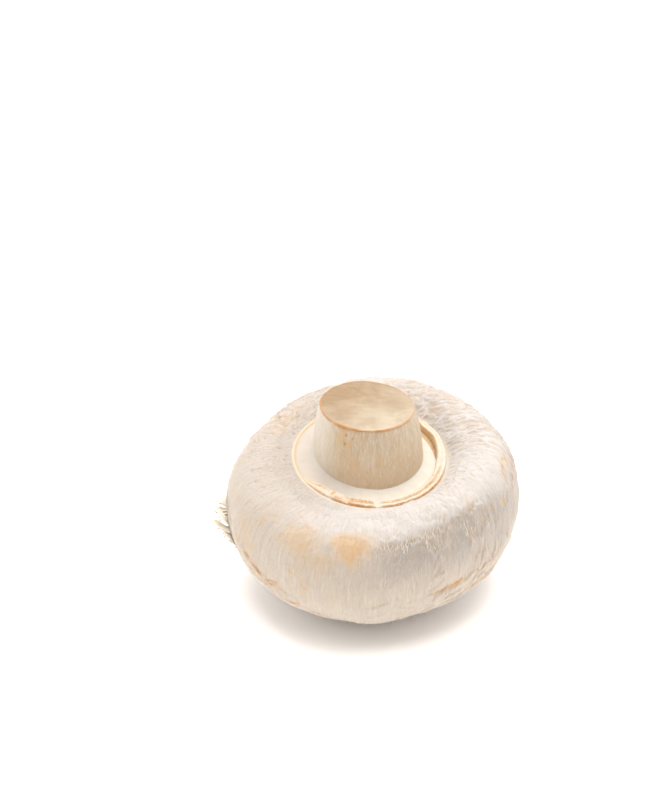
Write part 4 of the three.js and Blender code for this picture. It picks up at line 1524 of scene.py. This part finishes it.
def stem_grid(size, turns):
    """The stem's points, up its side, over the rim of the cut and in across the cut face, with
    its marks."""
    angle = full_turn(turns)
    root = size["foot_rise"] - STEM_ROOT
    brink = size["cut_rise"] - CUT_ROUNDING
    side_rise = np.concatenate([[root, root], np.linspace(root + 0.5, brink, 96)])
    face_reach = np.concatenate([[0.992, 0.975, 0.95], np.linspace(0.92, 0, 26)])
    rise = np.concatenate([side_rise, np.full(len(face_reach), size["cut_rise"])])[:, None]
    reach = np.concatenate([[0.0], np.ones(len(side_rise) - 1), face_reach])[:, None]
    on_face = np.concatenate([np.zeros(len(side_rise)), np.ones(len(face_reach))])[:, None]
    radius = stem_radius(size, rise)
    bare = steps(rise, size["foot_rise"] - 0.5, size["foot_rise"] + 1) * (1 - on_face)
    along = (rise - root) + (1 - reach) * STEM_FIBRES + 0 * angle
    fibre = stack(STEM_FIBRES * np.cos(angle), STEM_FIBRES * np.sin(angle), along)
    ribs = rough(fibre * np.array([1.3, 1.3, 0.09]), 3, 101)
    lean = rough(fibre * np.array([0.25, 0.25, 0.08]), 2, 103)
    radius = radius * reach + bare * (0.10 * ribs + 0.16 * lean - 0.06)
    centre_x, centre_y = stem_shift(size, rise)
    x = radius * np.cos(angle) + centre_x
    y = radius * np.sin(angle) + centre_y
    bare_length = size["cut_rise"] - size["foot_rise"]
    sliced = np.clip((rise - size["foot_rise"]) / bare_length, 0, 1) ** 2
    mottle = rough(stack(x * 0.45, y * 0.45, 0 * x), 3, 107)
    scrape = rough(stack(x * 0.25, y * 1.6, 0 * x), 2, 109)
    dish = on_face * (0.10 * mottle + 0.04 * scrape - 0.12 * (1 - reach**4))
    lip = 0.07 * bell(reach - 0.975, 0.02) * on_face
    z = rise + sliced * math.tan(size["cut_slope"]) * y + dish + lip
    edge = bell(reach - 0.985, 0.020) * on_face
    below = (1 - on_face) * np.exp(-(size["cut_rise"] - CUT_ROUNDING - rise) / 0.16)
    worn = mix(0.4, 1.15, facing(angle, -120, 120)) * (0.75 + 0.4 * rough(fibre * 0.8, 2, 115))
    streaks = steps(rough(fibre * np.array([0.5, 0.5, 0.14]), 3, 113), 0.0, 0.5)
    drip = (1 - on_face) * np.exp(-(size["cut_rise"] - rise) / 3.0) * facing(angle, -97, 40)
    ragged = 0.12 * rough(fibre * np.array([2.2, 2.2, 0.5]), 3, 117)
    foot = bell(rise - size["foot_rise"] + 0.1 + ragged, 0.35) * bare
    foot = 0.8 * foot * facing(angle, -45, 75)
    specks = stem_spots(size, angle, rise, STEM_SPECKS, 9)
    dots = stem_spots(size, angle, rise, STEM_DOTS, 8)
    fibre = np.where((on_face > 0)[..., None], stack(x, y, z), fibre)
    # painted light: lighter towards the foot, least on the left side
    warm = steps(size["foot_rise"] + 8.0 - rise, 0, 7.5) * mix(0.75, 0.1, facing(angle, 185, 85))
    # painted light: paler just above the foot
    low = 0.2 * steps(size["foot_rise"] + 2.0 - rise, 0, 1.8)
    # painted shade: darker towards the back and left of the cut
    pale = 0.45 - 0.45 * y / size["cut_radius"] + 0.35 * x / size["cut_radius"]
    marks = {
        "fibre": fibre * MM,
        "cut": on_face + 0 * x,
        "rim": np.clip(np.maximum(edge, below) * worn + 1.3 * dots, 0, 1),
        "stain": np.clip(0.9 * drip * streaks + 0.25 * streaks * bare + foot + specks, 0, 1),
        # the smoother left side, partly painted light, and the painted light near the foot
        "smooth": (1 - on_face) * np.maximum(facing(angle, 178, 62), low) + 0 * x,
        "glow": warm * (1 - on_face),
        "pale": np.clip(on_face * pale, 0, 1),
    }
    return stack(x, y, z), marks


class MUSHROOM_OT_stem(bpy.types.Operator):
    """Makes the stem, with its fibrous side and its cut face"""

    bl_idname = "mushroom.stem"
    bl_label = "Stem"

    def execute(self, context):
        size = sizes()
        grid, marks = stem_grid(size, STEM_TURNS)
        piece = turned_piece("stem_flesh", lay_down(size, grid), marks)
        flesh = shared("stem flesh", stem_material, context.scene.mushroom_finish)
        finish_piece(piece, flesh, "stem")
        return {"FINISHED"}


# ---- Floor, light and camera ----

FLOOR_HALF = 3.0
SENSOR_MM = 36.0
FAR_CLIP = 10.0
# Square lamps: name, the setting that gives the power, width and place in metres.
LAMPS = (
    ("overhead", "overhead", 0.5, (0.02, -0.04, 0.6)),
    ("left", "side", 0.4, (-0.6, 0.15, 0.25)),
    ("right", "side", 0.4, (0.6, 0.15, 0.3)),
)


class MUSHROOM_OT_stage(bpy.types.Operator):
    """Makes the pale floor, the soft light and the camera"""

    bl_idname = "mushroom.stage"
    bl_label = "Stage"

    def execute(self, context):
        stage = context.scene.mushroom_stage
        square = ((-1, -1, 0), (1, -1, 0), (1, 1, 0), (-1, 1, 0))
        corners = np.array(square) * FLOOR_HALF / MM
        floor = make_mesh("floor", corners, np.array([[0, 1, 2, 3]]))
        floor.data.materials.append(floor_material(stage))
        world = bpy.data.worlds.new("white surroundings")
        world.use_nodes = True
        backdrop = world.node_tree.nodes["Background"]
        backdrop.inputs["Color"].default_value = (1, 1, 1, 1)
        backdrop.inputs["Strength"].default_value = stage.daylight
        context.scene.world = world
        for name, power, width, place in LAMPS:
            self.lamp(context, name, getattr(stage, power), width, Vector(place))
        self.camera(context, stage)
        context.scene.view_settings.view_transform = "Standard"
        return {"FINISHED"}

    def lamp(self, context, name, power, width, place):
        """A square area lamp that faces the mushroom."""
        light = bpy.data.lights.new(name, "AREA")
        light.energy = power
        light.size = width
        lamp = bpy.data.objects.new(name, light)
        lamp.location = place
        lamp.rotation_euler = (-place).to_track_quat("-Z", "Y").to_euler()
        context.scene.collection.objects.link(lamp)

    def camera(self, context, stage):
        """The camera stands in front, looking down, its view's centre beside and above the cap."""
        middle = Vector(lying(sizes())[1]) * MM
        forward = Vector((0, math.cos(stage.elevation), -math.sin(stage.elevation)))
        upward = Vector((0, math.sin(stage.elevation), math.cos(stage.elevation)))
        sideways = Vector((1, 0, 0))
        data = bpy.data.cameras.new("camera")
        data.lens = stage.lens
        data.sensor_width = SENSOR_MM
        data.clip_end = FAR_CLIP
        view = bpy.data.objects.new("camera", data)
        straight_back = middle - forward * stage.distance
        view.location = straight_back - sideways * stage.aside + upward * stage.above
        view.rotation_euler = Matrix((sideways, upward, -forward)).transposed().to_euler()
        context.scene.collection.objects.link(view)
        context.scene.camera = view


class MUSHROOM_PT_panel(bpy.types.Panel):
    """The mushroom's pieces and their settings"""

    bl_idname = "MUSHROOM_PT_panel"
    bl_label = "Button Mushroom"
    bl_space_type = "VIEW_3D"
    bl_region_type = "UI"
    bl_category = "Mushroom"

    def draw(self, context):
        for maker in OPERATORS:
            self.layout.operator(maker.bl_idname)
        for group, settings in SETTINGS.items():
            held = getattr(context.scene, group)
            for name in settings.__annotations__:
                self.layout.prop(held, name)


SETTINGS = {
    "mushroom_form": MushroomForm,
    "mushroom_finish": MushroomFinish,
    "mushroom_stage": MushroomStage,
}
OPERATORS = (
    MUSHROOM_OT_cap,
    MUSHROOM_OT_shreds,
    MUSHROOM_OT_hairs,
    MUSHROOM_OT_veil,
    MUSHROOM_OT_stem,
    MUSHROOM_OT_stage,
)
CLASSES = (*SETTINGS.values(), *OPERATORS, MUSHROOM_PT_panel)


def register():
    """Registers the classes and hangs the settings on the scene."""
    for kind in CLASSES:
        bpy.utils.register_class(kind)
    for group, settings in SETTINGS.items():
        setattr(bpy.types.Scene, group, bpy.props.PointerProperty(type=settings))


def unregister():
    """Takes the settings and the classes away again."""
    for group in SETTINGS:
        delattr(bpy.types.Scene, group)
    for kind in reversed(CLASSES):
        bpy.utils.unregister_class(kind)


def main():
    """Makes every piece in order."""
    register()
    for maker in OPERATORS:
        family, action = maker.bl_idname.split(".")
        getattr(getattr(bpy.ops, family), action)()


if __name__ == "__main__":
    main()
